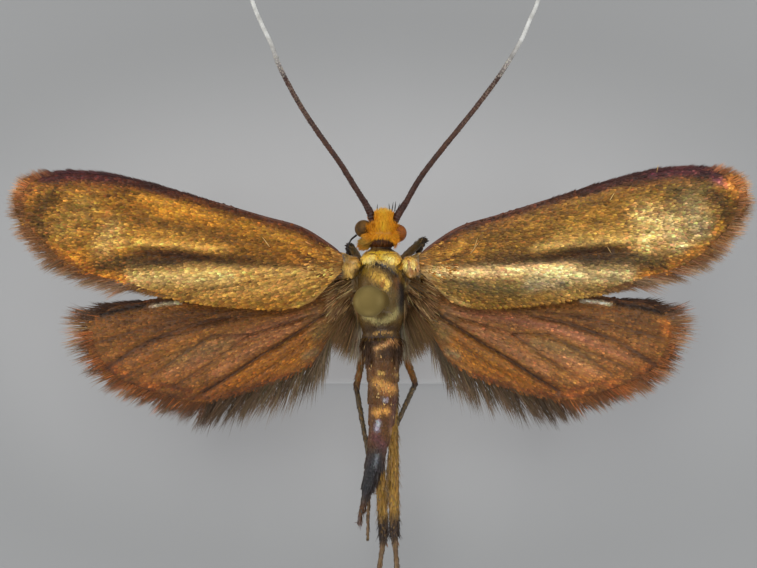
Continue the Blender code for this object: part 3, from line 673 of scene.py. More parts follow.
SHOULDER_STROKES = (
    ((236, 190, 104), 0.95, 0.09, (1.12, 1.14), (1.32, 1.06)),
    ((214, 160, 80), 0.85, 0.07, (1.42, 1.04), (1.55, 0.98)),
    ((110, 60, 30), 0.9, 0.06, (1.10, 1.26), (1.40, 1.36)),
    ((146, 116, 66), 0.8, 0.10, (1.18, 0.92), (1.34, 0.90)),
    ((74, 48, 28), 0.85, 0.06, (1.30, 0.98), (1.52, 0.88)),
    ((236, 200, 122), 0.95, 0.07, (1.22, 0.76), (1.60, 0.74)),
    # Painted shade in the gap between the shoulder plate and the forewing's base
    ((34, 24, 18), 0.95, 0.09, (1.06, 1.10), (1.07, 0.84), (1.14, 0.60)),
    ((60, 40, 22), 0.9, 0.05, (1.14, 1.02), (1.34, 0.98)),
    ((196, 156, 84), 0.9, 0.05, (1.16, 0.62), (1.36, 0.46)),
)
PALE_HAIR, GREY_HAIR, DARK_HAIR = (222, 184, 124), (116, 100, 80), (54, 36, 24)
BACKWARDS, UPWARDS = (0.0, -1.0, 0.0), (0.0, 0.0, 1.0)
# How far a vane's root is sunk into the skin, in mm
ROOT_DEPTH = 0.004

scale_finish = vane_finish("body_scales", 0.8, 0.42, Metallic=0.15, Specular_IOR_Level=0.3)
collar_finish = vane_finish("collar_scales", 1.0, 0.38, Metallic=0.0, Specular_IOR_Level=0.7,
                            Coat_Weight=0.4, Coat_Roughness=0.25)
# Scales and hairs for each square mm
SCALE_DENSITY, HAIR_DENSITY = 900, 1900
coat_roots, coat_normals = sprinkle(skin, SCALE_DENSITY)
x, y, height = (coat_roots - (0, 0, AXIS_HEIGHT)).T
on_head = y > 1.40
on_abdomen = y < -1.0
on_shoulder = (np.abs(x) > 1.02) & (y > 0.50) & (height > 0.30)
on_tegula = (np.abs(x) < 1.06) & (y > 0.48) & (height > 0.32)
on_wing_root = (np.abs(x) > 0.62) & (y < 1.4) & (y > -0.95) & ~on_tegula & ~on_shoulder
on_wing_root &= ~((np.abs(x) < 0.72) & (height > 0.2))
on_collar = ~on_head & ~on_wing_root & ~on_shoulder & (y > 1.04 - 0.7 * np.clip(x + 0.05, 0, 0.5))
on_thorax = ~on_head & ~on_abdomen & ~on_wing_root & ~on_shoulder & ~on_collar


def body_coat(name, roots, normals, length, width, flow, lift, slot_name, paints, finish=scale_finish,
              scatter=0.08, **shape):
    """Vanes of one kind on a part of the body, laid along flow."""
    count = len(roots)
    ways = laid_back(normals, flow, lift * draw.uniform(0.6, 1.4, count), scatter)
    size = draw.uniform(0.8, 1.25, count)
    made = vanes(name, roots - normals * ROOT_DEPTH, ways, normals, length * size, width * size, finish,
                 body_unwrap(roots), paints, **shape)
    return made


def marked_share(facing):
    """How strongly the markings seen from above are laid on: fully on top, and not below."""
    return np.clip(facing[:, 2] * 3 + 0.6, 0, 1)


# Each scale takes the paint of the place that its middle covers, in mm
SCALE_MIDDLE = (0, 0.07)
BODY_PATCHES = (
    ("thorax_scales", on_thorax, scale_finish, 0.09, 0.12),
    ("collar_scales", on_collar, collar_finish, 0.04, 0.05),
)
for name, place, finish, lift, depth in BODY_PATCHES:
    chosen, facing = coat_roots[place], coat_normals[place]
    paints = painted(chosen[:, :2] - SCALE_MIDDLE, THORAX_GROUND, THORAX_STROKES, marked_share(facing))
    body_coat(name, chosen, facing, 0.12, 0.052, BACKWARDS, lift, "thorax", paints, finish=finish,
              variety=0.10, depth=depth)
chosen, facing = coat_roots[on_abdomen], coat_normals[on_abdomen]
paints = painted(chosen[:, :2] - SCALE_MIDDLE, ABDOMEN_GROUND, ABDOMEN_STROKES, marked_share(facing))
paints[(draw.random(len(paints)) < 0.02) & (chosen[:, 1] > -3.3)] = swatch(196, 156, 98)
# Longer, narrower, raised scales on the sides of the first rings and on the right of the tail
shaggy = np.clip((chosen[:, 1] + 1.75) / 0.2, 0, 1) * np.clip(np.abs(facing[:, 0]) * 3 - 1.4, 0, 1)
shaggy = shaggy + np.clip((-4.1 - chosen[:, 1]) / 0.3, 0, 1) * np.clip(facing[:, 0] * 3 - 0.9, 0, 1)
body_coat("abdomen_scales", chosen, facing, 0.11 + 0.16 * shaggy, 0.052 - 0.03 * shaggy, BACKWARDS,
          0.09 + 0.26 * shaggy, "abdomen", paints, variety=0.18)
chosen, facing = coat_roots[on_shoulder], coat_normals[on_shoulder]
flow = np.column_stack((np.sign(chosen[:, 0]), 0.2 * (chosen[:, 1] - 0.6), np.zeros(len(chosen))))
body_coat("shoulder_scales", chosen, facing, 0.13, 0.055, flow, 0.06, "forewing",
          painted(np.abs(chosen[:, :2]), SHOULDER_GROUND, SHOULDER_STROKES), variety=0.32)
on_neck = (y > 1.36) & (y < 1.66)
body_coat("neck_scales", coat_roots[on_neck], coat_normals[on_neck], 0.12, 0.035, BACKWARDS, 0.07, "head",
          swatch(84, 48, 20), variety=0.3)
chosen, facing = coat_roots[on_wing_root], coat_normals[on_wing_root]
slant = -0.25 - 0.7 * np.clip(0.9 - chosen[:, 1], 0, 1)
flow = np.column_stack((np.sign(chosen[:, 0]), slant, np.zeros(len(chosen))))
paints = painted((chosen + unit(flow) * 0.25)[:, :2], ROOT_GROUND, ROOT_STROKES)
odd = draw.random(len(paints))
paints[odd < 0.14] = swatch(*PALE_HAIR)
paints[(odd > 0.14) & (odd < 0.22)] = swatch(*DARK_HAIR)
paints[odd > 0.85] = swatch(*GREY_HAIR)
length = np.where(chosen[:, 1] > -0.4, 0.46, 0.30)
body_coat("root_hair", chosen, facing, length, 0.020, flow, 0.07, "thorax", paints, scatter=0.09,
          profile=HAIR_PROFILE, variety=0.22, smooth=True)

# Coarse hair that fills the joints of the wings, dark below and pale gold where it catches the light
JOINT_HAIRS = 900
for side, sign in SIDES.items():
    along, across = draw.random(JOINT_HAIRS), draw.random(JOINT_HAIRS)
    roots = np.column_stack((
        sign * (0.80 + 0.34 * across), 0.66 - 0.80 * along,
        AXIS_HEIGHT + 0.12 + 0.20 * across - 0.34 * along,
    ))
    ways = unit(np.column_stack((
        np.full(JOINT_HAIRS, sign * 1.0), -0.15 - 1.1 * along + draw.normal(0, 0.22, JOINT_HAIRS),
        draw.normal(0.04, 0.10, JOINT_HAIRS),
    )))
    odd = draw.random(JOINT_HAIRS)
    paints = blended(along, (0.0, (126, 90, 52)), (0.5, (156, 116, 72)), (1.0, (136, 104, 70)))
    paints[odd < 0.10] = swatch(*DARK_HAIR)
    paints[odd > 0.86] = swatch(*PALE_HAIR)
    made = vanes("joint_hair_" + side, roots, ways, UPWARDS, draw.uniform(0.25, 0.66, JOINT_HAIRS),
                 draw.uniform(0.014, 0.028, JOINT_HAIRS), scale_finish, body_unwrap(roots), paints,
                 profile=HAIR_PROFILE, depth=0.3, bend=draw.normal(0, 0.10, JOINT_HAIRS), variety=0.25,
                 smooth=True)

# The long soft hair that hangs beside the abdomen, from the hind wing roots
SIDE_HAIRS = 1500
for side, sign in SIDES.items():
    share = draw.random(SIDE_HAIRS)
    roots = np.column_stack((
        sign * (0.52 + 0.40 * share), -0.62 + 0.42 * share + draw.normal(0, 0.08, SIDE_HAIRS),
        AXIS_HEIGHT - 0.34 + draw.normal(0, 0.07, SIDE_HAIRS),
    ))
    ways = unit(np.column_stack((
        sign * (0.12 + 0.60 * share) + draw.normal(0, 0.10, SIDE_HAIRS), np.full(SIDE_HAIRS, -1.0),
        draw.normal(-0.06, 0.06, SIDE_HAIRS),
    )))
    paints = blended(share, (0.0, (184, 172, 150)), (0.12, (144, 124, 96)), (0.3, (124, 98, 66)),
                     (1.0, (132, 100, 62)))
    made = vanes("side_hair_" + side, roots, ways, UPWARDS, draw.uniform(0.55, 1.25, SIDE_HAIRS),
                 draw.uniform(0.010, 0.017, SIDE_HAIRS), scale_finish, body_unwrap(roots), paints,
                 profile=HAIR_PROFILE, depth=0.3, bend=draw.normal(0, 0.06, SIDE_HAIRS), variety=0.22,
                 smooth=True)

# The dense orange hair of the head, combed forwards on the crown and backwards over the neck
hair_finish = vane_finish("head_hair", 0.8, 0.5, Specular_IOR_Level=0.3)
HEAD_HAIR_WIDTH = 0.017
HEAD_GROUND = (244, 158, 30)
HEAD_STROKES = (
    # Painted highlight: the paler strip along the top of the crown
    ((255, 190, 52), 0.9, 0.20, (0.04, 2.30), (0.06, 1.90)),
    ((255, 206, 92), 0.8, 0.09, (-0.05, 2.46), (0.20, 2.46)),
    ((250, 172, 38), 0.8, 0.12, (-0.28, 1.66), (0.42, 1.66)),
    ((206, 126, 26), 0.7, 0.12, (-0.22, 2.20), (-0.34, 2.0)),
    ((206, 124, 26), 0.6, 0.10, (0.60, 1.90), (0.54, 1.60)),
    ((190, 154, 72), 0.9, 0.14, (-0.60, 1.62), (-0.40, 1.42)),
    # Painted shadow: the dark line across the neck, under the hair at the back of the head
    ((48, 30, 18), 0.9, 0.045, (-0.34, 1.50), (0.0, 1.55), (0.34, 1.48)),
)
hair_roots, hair_normals = sprinkle(skin, HAIR_DENSITY)
x, y, height = (hair_roots - (0, 0, AXIS_HEIGHT)).T
hairy = (y > 1.46) & ~((y < 1.71 - 1.2 * (x - 0.05) ** 2) & (np.abs(x - 0.05) < 0.50) & (height > 0))
hairy &= (np.abs(x - 0.07) < 0.27 + 1.3 * np.clip(2.02 - y, 0, 1)) | (height < -0.1)
hair_roots, hair_normals = hair_roots[hairy], hair_normals[hairy]
x, y, height = (hair_roots - (0, 0, AXIS_HEIGHT)).T
forward = np.clip((y - 1.62) / 0.42, 0, 1)
flow = np.column_stack((
    (x - 0.05) * (2.4 * (1 - forward) - 1.1 * forward), -0.75 + 1.75 * forward,
    0.35 - 1.0 * (height < -0.1),
))
count = len(hair_roots)
beside = np.clip(np.abs(x - 0.06) / 0.22 - 0.8, 0, 1) * np.clip((y - 1.95) / 0.1, 0, 1)
nape = np.clip((1.90 - y) / 0.1, 0, 1) * np.clip(2 - np.abs(x - 0.05) / 0.2, 0, 1)
length = np.where(height > 0.0, 0.22, 0.15) * (1 + 0.2 * forward) * (1 - 0.5 * beside) * (1 - 0.45 * nape)
lift = np.where(height > 0.0, 0.28, 0.20) * (1 - 0.7 * beside)
tips = hair_roots[:, :2] + unit(flow)[:, :2] * 0.12
cover = np.clip(hair_normals[:, 2] * 2 + 0.8, 0, 1)
body_coat("head_hair", hair_roots, hair_normals, length, HEAD_HAIR_WIDTH, flow, lift, "head",
          painted(tips, HEAD_GROUND, HEAD_STROKES, cover), finish=hair_finish, scatter=0.09,
          profile=HAIR_PROFILE, depth=0.4, variety=0.13, bend=draw.normal(-0.12, 0.08, count), smooth=True)

# Where the long hair stands: number, two corners of its bed, height of the bed and the lean of its hair
TUFTS = (
    (2500, (-0.15, 1.80), (0.29, 2.22), 0.36, (0.0, 0.95, 0.36)),
    (320, (0.20, 1.58), (0.32, 1.86), 0.33, (0.75, -0.25, -0.08)),
    (380, (-0.34, 1.58), (-0.18, 1.80), 0.32, (-0.75, -0.35, 0.05)),
    (520, (-0.46, 1.42), (-0.26, 1.68), 0.14, (-0.70, -0.35, 0.0)),
)
parts = []
for count, low, high, rise, lean in TUFTS:
    x, y = draw.uniform(low[0], high[0], count), draw.uniform(low[1], high[1], count)
    crown = AXIS_HEIGHT + rise - 0.7 * (x - 0.04) ** 2 - 1.1 * np.maximum(0, y - 1.95) ** 2
    ways = np.tile(lean, (count, 1)) + draw.normal(0, 0.12, (count, 3))
    parts.append((np.column_stack((x, y, crown)), unit(ways), draw.uniform(0.15, 0.27, count)))
roots, ways, lengths = (np.concatenate(column) for column in zip(*parts))
count = len(roots)
tips = roots[:, :2] + ways[:, :2] * 0.2
tuft = vanes("head_tuft", roots, ways, (0.0, -0.5, 0.9), lengths, HEAD_HAIR_WIDTH, hair_finish,
             body_unwrap(roots), painted(tips, HEAD_GROUND, HEAD_STROKES), profile=HAIR_PROFILE, depth=0.4,
             bend=draw.normal(0.0, 0.14, count), variety=0.15, smooth=True)
# Dark bristles on the brow: place and sideways lean
BRISTLES = (
    (-0.12, 2.30, 0.1), (0.24, 2.32, -0.1), (0.29, 2.36, 0.15), (0.37, 2.38, 0.1), (0.42, 2.34, 0.35),
)
roots = np.array([(x, y, AXIS_HEIGHT - 0.25) for x, y, _ in BRISTLES])
ways = unit(np.array([(lean, 1.0, 0.25) for _, _, lean in BRISTLES]))
bristles = vanes("head_bristles", roots, ways, UPWARDS, 0.30, 0.028, hair_finish, body_unwrap(roots),
                 swatch(38, 30, 24), profile=HAIR_PROFILE, depth=0.5)

# The eyes: two glossy domes of close-packed lenses, olive brown on the left and redder on the right. Each
# is a cap of clear horny skin that sits in a socket at the side of the head.
EYES = {"left": (-0.467, 1.905, 0.0), "right": (0.450, 1.790, 0.02)}
EYE_SIZE = (0.24, 0.24, 0.25)
EYE_TINTS = {"left": ((72, 48, 8), (136, 92, 20)), "right": ((116, 60, 6), (176, 94, 12))}
for side, centre in EYES.items():
    eye_finish, tree, shader = new_finish("eye_lenses_" + side, Roughness=0.5, Specular_IOR_Level=0.25,
                                          Coat_Weight=0.03, Coat_Roughness=0.3)
    pattern = {"Vector": own_place(tree), "Scale": 34000.0, "Randomness": 0.35}
    lenses = lay(tree, "ShaderNodeTexVoronoi", pattern).outputs["Distance"]
    low, high = (swatch(*tint) for tint in EYE_TINTS[side])
    colour = use_group(tree, mottle_group, {"Scale": 4500.0, "Low": low, "High": high})["Colour"]
    colour = mixed(tree, ranged(tree, lenses, 0.3, 0.7, to_high=0.6), colour, swatch(62, 46, 24))
    tree.links.new(colour, shader.inputs["Base Color"])
    set_relief(tree, shader, lenses, 0.6, 0.000012, invert=True)
    eye = add_mesh("lens_dome_" + side, *ball(centre, EYE_SIZE, 5), eye_finish)
    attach(eye, "root")
    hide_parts("eye_" + side)


# The feelers: each a thick base joint and a long whip of short rings, dark and rough with scales near the
# head, bare and whitish towards the tip.
FEELERS = {
    "left": (
        (-0.19, 2.02, 0.10), (-0.26, 2.26, 0.12), (-0.43, 2.60, 0.12), (-0.81, 3.20, 0.26),
        (-1.09, 3.65, 0.38), (-1.63, 4.40, 0.52), (-2.16, 5.20, 0.60), (-2.69, 6.19, 0.64),
        (-2.93, 6.83, 0.64), (-3.17, 7.33, 0.62), (-3.44, 8.00, 0.58), (-3.84, 9.40, 0.45),
        (-4.12, 11.2, 0.22), (-4.22, 13.1, -0.1),
    ),
    "right": (
        (0.34, 2.00, 0.10), (0.44, 2.26, 0.12), (0.66, 2.60, 0.12), (1.04, 3.25, 0.26), (1.57, 3.95, 0.46),
        (2.11, 4.61, 0.56), (2.64, 5.28, 0.60), (3.17, 6.00, 0.64), (3.71, 6.88, 0.63), (3.97, 7.47, 0.60),
        (4.19, 8.00, 0.58), (4.62, 9.60, 0.42), (4.84, 11.4, 0.20), (4.90, 13.2, -0.1),
    ),
}
FEELER_RINGS, FEELER_SIDES = 150, 10
FEELER_RADII = (
    (0.0, 0.08), (0.018, 0.105), (0.04, 0.09), (0.06, 0.076), (0.3, 0.064), (0.6, 0.050), (1.0, 0.030),
)


def smooth_path(points, count):
    """Points spread evenly along a curve through the given ones, in millimetres from the body's axis."""
    points = np.array(points, dtype=float) + (0, 0, AXIS_HEIGHT)
    ends = np.vstack((2 * points[0] - points[1], points, 2 * points[-1] - points[-2]))
    fine = []
    steps = np.linspace(0, 1, 24, endpoint=False)[:, None]
    for before, start, end, after in zip(ends, ends[1:], ends[2:], ends[3:]):
        square, cube = 2 * before - 5 * start + 4 * end - after, 3 * start - before - 3 * end + after
        fine.append(0.5 * (2 * start + (end - before) * steps + square * steps ** 2 + cube * steps ** 3))
    fine = np.vstack((*fine, points[-1]))
    lengths = np.append(0, np.cumsum(np.linalg.norm(np.diff(fine, axis=0), axis=1)))
    wanted = np.linspace(0, lengths[-1], count)
    return np.column_stack([np.interp(wanted, lengths, fine[:, k]) for k in range(3)])


def tube(path, radii, sides=12):
    """Points and faces of a closed tube with a radius at each point of its path."""
    ahead = unit(np.gradient(path, axis=0))
    across = [np.cross(ahead[0], (0.0, 0.3, 1.0))]
    for way in ahead:
        guide = across[-1] - way * across[-1].dot(way)
        across.append(guide / np.linalg.norm(guide))
    across = np.array(across[1:])
    up = np.cross(ahead, across)
    angles = np.linspace(0, 2 * math.pi, sides, endpoint=False)
    outward = across[:, None] * np.cos(angles)[None, :, None] + up[:, None] * np.sin(angles)[None, :, None]
    points = path[:, None] + outward * np.asarray(radii)[:, None, None]
    count = len(path)
    faces = []
    for ring in range(count - 1):
        for k in range(sides):
            near, after = ring * sides + k, ring * sides + (k + 1) % sides
            faces.append((near, after, after + sides, near + sides))
    faces.append(tuple(range(sides - 1, -1, -1)))
    faces.append(tuple(range((count - 1) * sides, count * sides)))
    return points.reshape(-1, 3), faces


def limb_coat(name, path, radii, density, length, width, lift, finish, stops, slot_name, start=0.0, end=1.0,
              scatter=0.08, painted_side_shade=False, **shape):
    """Vanes that point along a limb, spread over its surface between two shares of its length.

    stops gives their swatches along the limb. With painted_side_shade, painted shade makes the vanes on the
    limb's sides darker.
    """
    ahead = unit(np.gradient(path, axis=0))
    total = np.linalg.norm(np.diff(path, axis=0), axis=1).sum()
    count = int(total * (end - start) * 2 * math.pi * np.mean(radii) * density)
    shares = draw.uniform(start, end, count)
    place = shares * (len(path) - 1)
    steps = np.arange(len(path))
    middle = np.column_stack([np.interp(place, steps, path[:, k]) for k in range(3)])
    way = unit(np.column_stack([np.interp(place, steps, ahead[:, k]) for k in range(3)]))
    turn = draw.uniform(0, 2 * math.pi, count)
    across = unit(np.cross(way, (0.1, 0.3, 1.0)))
    normals = across * np.cos(turn)[:, None] + np.cross(way, across) * np.sin(turn)[:, None]
    radius = np.interp(place, steps, radii)
    size = draw.uniform(0.75, 1.25, count)
    lifts = lift * draw.uniform(0.5, 1.5, count)
    ways = unit(way + normals * lifts[:, None] + draw.normal(0, scatter, (count, 3)))
    # Painted shade: the vanes on the limb's sides are painted darker than those on top and below
    paints = blended(shares, *stops) * (0.75 + 0.4 * normals[:, 2:3] ** 2 if painted_side_shade else 1.0)
    unwrap = np.column_stack((turn / (2 * math.pi) * 0.98 + 0.01, shares))
    made = vanes(name, middle + normals * (radius - 2 * ROOT_DEPTH)[:, None], ways, normals, length * size,
                 width * size, finish, unwrap, paints, **shape)
    return made


# The bare skin turns whitish between these distances from the body's middle, in metres along Y
PALE_START, PALE_END = 0.0059, 0.0070
feeler_finish, tree, shader = new_finish("feeler_skin", Roughness=0.42, Metallic=0.1)
pale = ranged(tree, split(tree, own_place(tree))["Y"], PALE_START, PALE_END)
low = mixed(tree, pale, swatch(44, 22, 14), swatch(176, 174, 166))
high = mixed(tree, pale, swatch(78, 44, 26), swatch(222, 222, 216))
looks = use_group(tree, mottle_group, {"Scale": 5000.0, "Low": low, "High": high})
tree.links.new(looks["Colour"], shader.inputs["Base Color"])
feeler_scales = vane_finish("feeler_scales", 0.75, 0.5, Metallic=0.0, Specular_IOR_Level=0.25)
FEELER_STOPS = (
    (0.0, (104, 50, 18)), (0.03, (58, 26, 13)), (0.12, (68, 37, 22)), (0.20, (90, 62, 46)),
    (0.30, (112, 90, 76)), (0.36, (124, 106, 92)), (0.43, (196, 190, 178)),
)
for side, route in FEELERS.items():
    path = smooth_path(route, FEELER_RINGS * 4 + 1)
    rings = 1 + 0.09 * np.tile((-1, 0.4, 1, 0.6), FEELER_RINGS + 1)[:len(path)]
    radii = np.interp(np.linspace(0, 1, len(path)), *zip(*FEELER_RADII)) * rings
    whip = add_mesh("feeler_" + side, *tube(path, radii, FEELER_SIDES), feeler_finish)
    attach(whip, "root")
    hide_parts("antenna_" + side)
    limb_coat("feeler_scales_" + side, path[::4], radii[::4], 1000, 0.09, 0.03, 0.16, feeler_scales,
              FEELER_STOPS, "antenna", end=FEELER_STOPS[-1][0])

# The mouthparts: two short palps with orange hair that hang under the head, and a thin ringed proboscis
# coiled between them. All are horny skin and grow from the underside of the head.
PALP = ((0.18, 2.04, -0.42), (0.23, 2.18, -0.66), (0.26, 2.24, -0.94), (0.26, 2.20, -1.30))
PALP_RADII = ((0, 0.09), (0.3, 0.11), (0.6, 0.10), (0.65, 0.08), (0.95, 0.06), (1, 0.02))
PALP_STOPS = ((0.0, (200, 120, 26)), (1.0, (150, 92, 34)))
COIL = (
    (0.03, 2.08, -0.56), (0.03, 2.26, -1.02), (0.03, 2.38, -1.40), (0.03, 2.12, -1.72), (0.03, 1.72, -1.66),
    (0.03, 1.60, -1.36), (0.03, 1.84, -1.22), (0.03, 1.98, -1.44),
)
COIL_RADII = ((0, 0.10), (0.7, 0.06), (1, 0.03))
PALP_STEPS, COIL_STEPS = 40, 200


def mottled_finish(name, scale, low, high, **shader_values):
    """A finish of cloudy skin between two swatches, slightly uneven."""
    finish, tree, shader = new_finish(name, **shader_values)
    looks = use_group(tree, mottle_group, {"Scale": scale, "Low": swatch(*low), "High": swatch(*high)})
    tree.links.new(looks["Colour"], shader.inputs["Base Color"])
    set_relief(tree, shader, looks["Height"], 0.4, 0.00001)
    return finish


for side, sign in SIDES.items():
    path = smooth_path([(sign * x + 0.03, y, z) for x, y, z in PALP], PALP_STEPS)
    radii = np.interp(np.linspace(0, 1, PALP_STEPS), *zip(*PALP_RADII))
    palp = add_mesh("mouth_palp_" + side, *tube(path, radii), skin_finish)
    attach(palp, "root")
    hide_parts("palp_" + side)
    limb_coat("palp_hair_" + side, path, radii, 900, 0.12, 0.022, 0.4, hair_finish, PALP_STOPS, "head",
              profile=HAIR_PROFILE)
path = smooth_path(COIL, COIL_STEPS)
ringed = 1 + 0.06 * np.tile((-1, 1), COIL_STEPS // 2)
radii = np.interp(np.linspace(0, 1, COIL_STEPS), *zip(*COIL_RADII)) * ringed
tongue_finish = mottled_finish("tongue_skin", 6000.0, (96, 62, 32), (146, 100, 54), Roughness=0.35)
tongue = add_mesh("tongue_coil", *tube(path, radii), tongue_finish)
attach(tongue, "root")
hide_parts("proboscis")

# The legs: six thin jointed limbs, each one skin from hip to claw, with flat scales, spurs at the ends
# of the shins, and feet of five short joints.
LEGS = {
    "foreleg_left": (
        (-0.30, 0.72, -0.70), (-0.36, 0.80, -1.02), (-0.56, 1.02, -1.18), (-0.84, 1.48, -0.92),
        (-0.98, 0.55, -1.66), (-0.95, -0.35, -2.10), (-1.00, -1.05, -2.42),
    ),
    "foreleg_right": (
        (0.30, 0.72, -0.70), (0.36, 0.80, -1.02), (0.60, 1.12, -1.10), (1.16, 1.64, -0.68),
        (0.76, 0.55, -1.62), (0.84, -0.35, -2.10), (0.95, -1.05, -2.42),
    ),
    "midleg_left": (
        (-0.40, 0.05, -0.70), (-0.40, -0.20, -1.00), (-0.34, -0.60, -1.22), (-0.67, -2.42, -1.30),
        (-0.29, -4.53, -1.74), (-0.34, -5.40, -2.02), (-0.36, -6.50, -2.15),
    ),
    "midleg_right": (
        (0.40, 0.05, -0.70), (0.40, -0.25, -1.00), (0.34, -0.70, -1.30), (0.94, -2.28, -1.76),
        (0.30, -3.75, -2.90), (0.20, -4.70, -3.20), (0.18, -5.60, -3.40),
    ),
    "hindleg_left": (
        (-0.26, -0.60, -0.66), (-0.36, -0.70, -1.04), (-0.34, -1.10, -1.46), (-0.12, -2.80, -2.20),
        (0.08, -6.53, -2.70), (-0.04, -7.40, -2.80), (-0.24, -8.90, -2.95),
    ),
    "hindleg_right": (
        (0.26, -0.60, -0.66), (0.30, -0.70, -1.04), (0.26, -1.10, -1.30), (0.33, -2.70, -1.24),
        (0.37, -6.40, -1.96), (0.44, -7.40, -2.06), (0.60, -8.90, -2.20),
    ),
}
# Radii of thigh, knee, shin and foot, and where the spurs stand as shares of the shin
LEG_BUILD = {
    "foreleg": (0.095, 0.085, 0.070, 0.045, ()),
    "midleg": (0.085, 0.080, 0.052, 0.045, (1.0,)),
    "hindleg": (0.11, 0.16, 0.135, 0.06, (0.45, 1.0)),
}
SPURS = ((-1, 0.42), (1, 0.34))
STEPS_PER_MM = 16
FOOT_JOINTS, FOOT_SWELL = 5, 0.13
leg_finish = mottled_finish("leg_skin", 3500.0, (92, 68, 34), (140, 108, 56), Roughness=0.42, Metallic=0.15)
# The claw-like bristle that curves out beside the left foreleg
SHOULDER_BRISTLE = ((-0.66, 1.74, -0.25), (-0.80, 1.62, -0.18), (-0.88, 1.44, -0.16), (-0.92, 1.26, -0.18))
bristle_finish = mottled_finish("bristle_skin", 4000.0, (24, 20, 18), (46, 38, 32), Roughness=0.4)
path = smooth_path(SHOULDER_BRISTLE, 40)
bristle = add_mesh("shoulder_bristle", *tube(path, np.linspace(0.03, 0.012, 40), 8), bristle_finish)
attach(bristle, "root")
leg_scales = vane_finish("leg_scales", 0.75, 0.42, Metallic=0.3)
THIGH, SHIN, FOOT, PALE_KNEE = (146, 94, 38), (158, 118, 48), (112, 88, 60), (112, 98, 70)
DARK_SHIN, DARK_END = (86, 72, 50), (54, 38, 26)
for name, joints in LEGS.items():
    kind = name.split("_")[0]
    thigh, knee, shin, foot, spur_places = LEG_BUILD[kind]
    joints = np.array(joints, dtype=float)
    spans = np.linalg.norm(np.diff(joints, axis=0), axis=1)
    marks = np.append(0, np.cumsum(spans)) / spans.sum()
    count = int(spans.sum() * STEPS_PER_MM)
    shares = np.linspace(0, 1, count)
    path = np.column_stack([np.interp(shares, marks, joints[:, k]) for k in range(3)]) + (0, 0, AXIS_HEIGHT)
    for _ in range(2):
        path[1:-1] = path[1:-1] * 0.5 + (path[:-2] + path[2:]) * 0.25
    knee_at, shin_at = marks[3], marks[4]
    leg_radii = (
        (0, thigh * 1.4), (marks[1], thigh * 1.3), (marks[2], thigh), ((marks[2] + knee_at) / 2, thigh * 1.1),
        (knee_at - 0.01, knee), (knee_at + 0.015, knee * 0.75), (shin_at - 0.02, shin), (shin_at, shin * 0.9),
        (shin_at + 0.02, foot), (0.97, foot * 0.7), (1, foot * 0.4),
    )
    radii = np.interp(shares, *zip(*leg_radii))
    wave = np.cos((shares - shin_at) / (1 - shin_at) * 2 * math.pi * FOOT_JOINTS) * FOOT_SWELL
    radii = np.where(shares > shin_at, radii * (1 - wave), radii)
    leg = add_mesh("limb_" + name, *tube(path, radii), leg_finish)
    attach(leg, "root")
    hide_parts(name)
    shin_colour = SHIN if kind == "hindleg" else DARK_SHIN
    stops = (
        (0.0, THIGH), (knee_at - 0.06, THIGH), (knee_at - 0.01, DARK_END), (knee_at + 0.02, shin_colour),
        (shin_at - 0.09, shin_colour), (shin_at - 0.05, DARK_END), (shin_at, DARK_END),
        (shin_at + 0.02, FOOT), (1.0, FOOT),
    )
    if kind == "foreleg":
        stops = (
            (0.0, THIGH), (knee_at - 0.06, PALE_KNEE), (knee_at, DARK_END), (knee_at + 0.06, DARK_END),
            (1.0, FOOT),
        )
    limb_coat("scales_" + name, path, radii, 560, 0.13, 0.045, 0.10, leg_scales, stops, "leg", painted_side_shade=True)
    if kind == "hindleg":
        limb_coat("hairs_" + name, path, radii, 160, 0.26, 0.02, 0.30, leg_scales, stops, "leg",
                  start=knee_at, end=shin_at, painted_side_shade=True, profile=HAIR_PROFILE)
    spurs = []
    for part in spur_places:
        at = int((knee_at + (shin_at - knee_at) * part) * (count - 1))
        way = unit(path[at + 2:at + 3] - path[at - 2:at - 1])[0]
        side_way = np.cross(way, UPWARDS)
        for sign, length in SPURS:
            spurs.append((path[at], way + side_way * sign * 0.32 + (0, 0, -0.15), length))
    if spurs:
        roots, ways, lengths = (np.array(column) for column in zip(*spurs))
        pointed = vanes("spurs_" + name, roots, unit(ways), UPWARDS, lengths, 0.05, leg_scales, (0.5, 0.5),
                        swatch(*THIGH), profile=HAIR_PROFILE, depth=0.45, smooth=True)

# The wings: each a thin dry membrane with folds and veins, covered on both faces by rows of small
# overlapping scales and edged with a fringe of hair scales. The forewings lie over the hindwings.

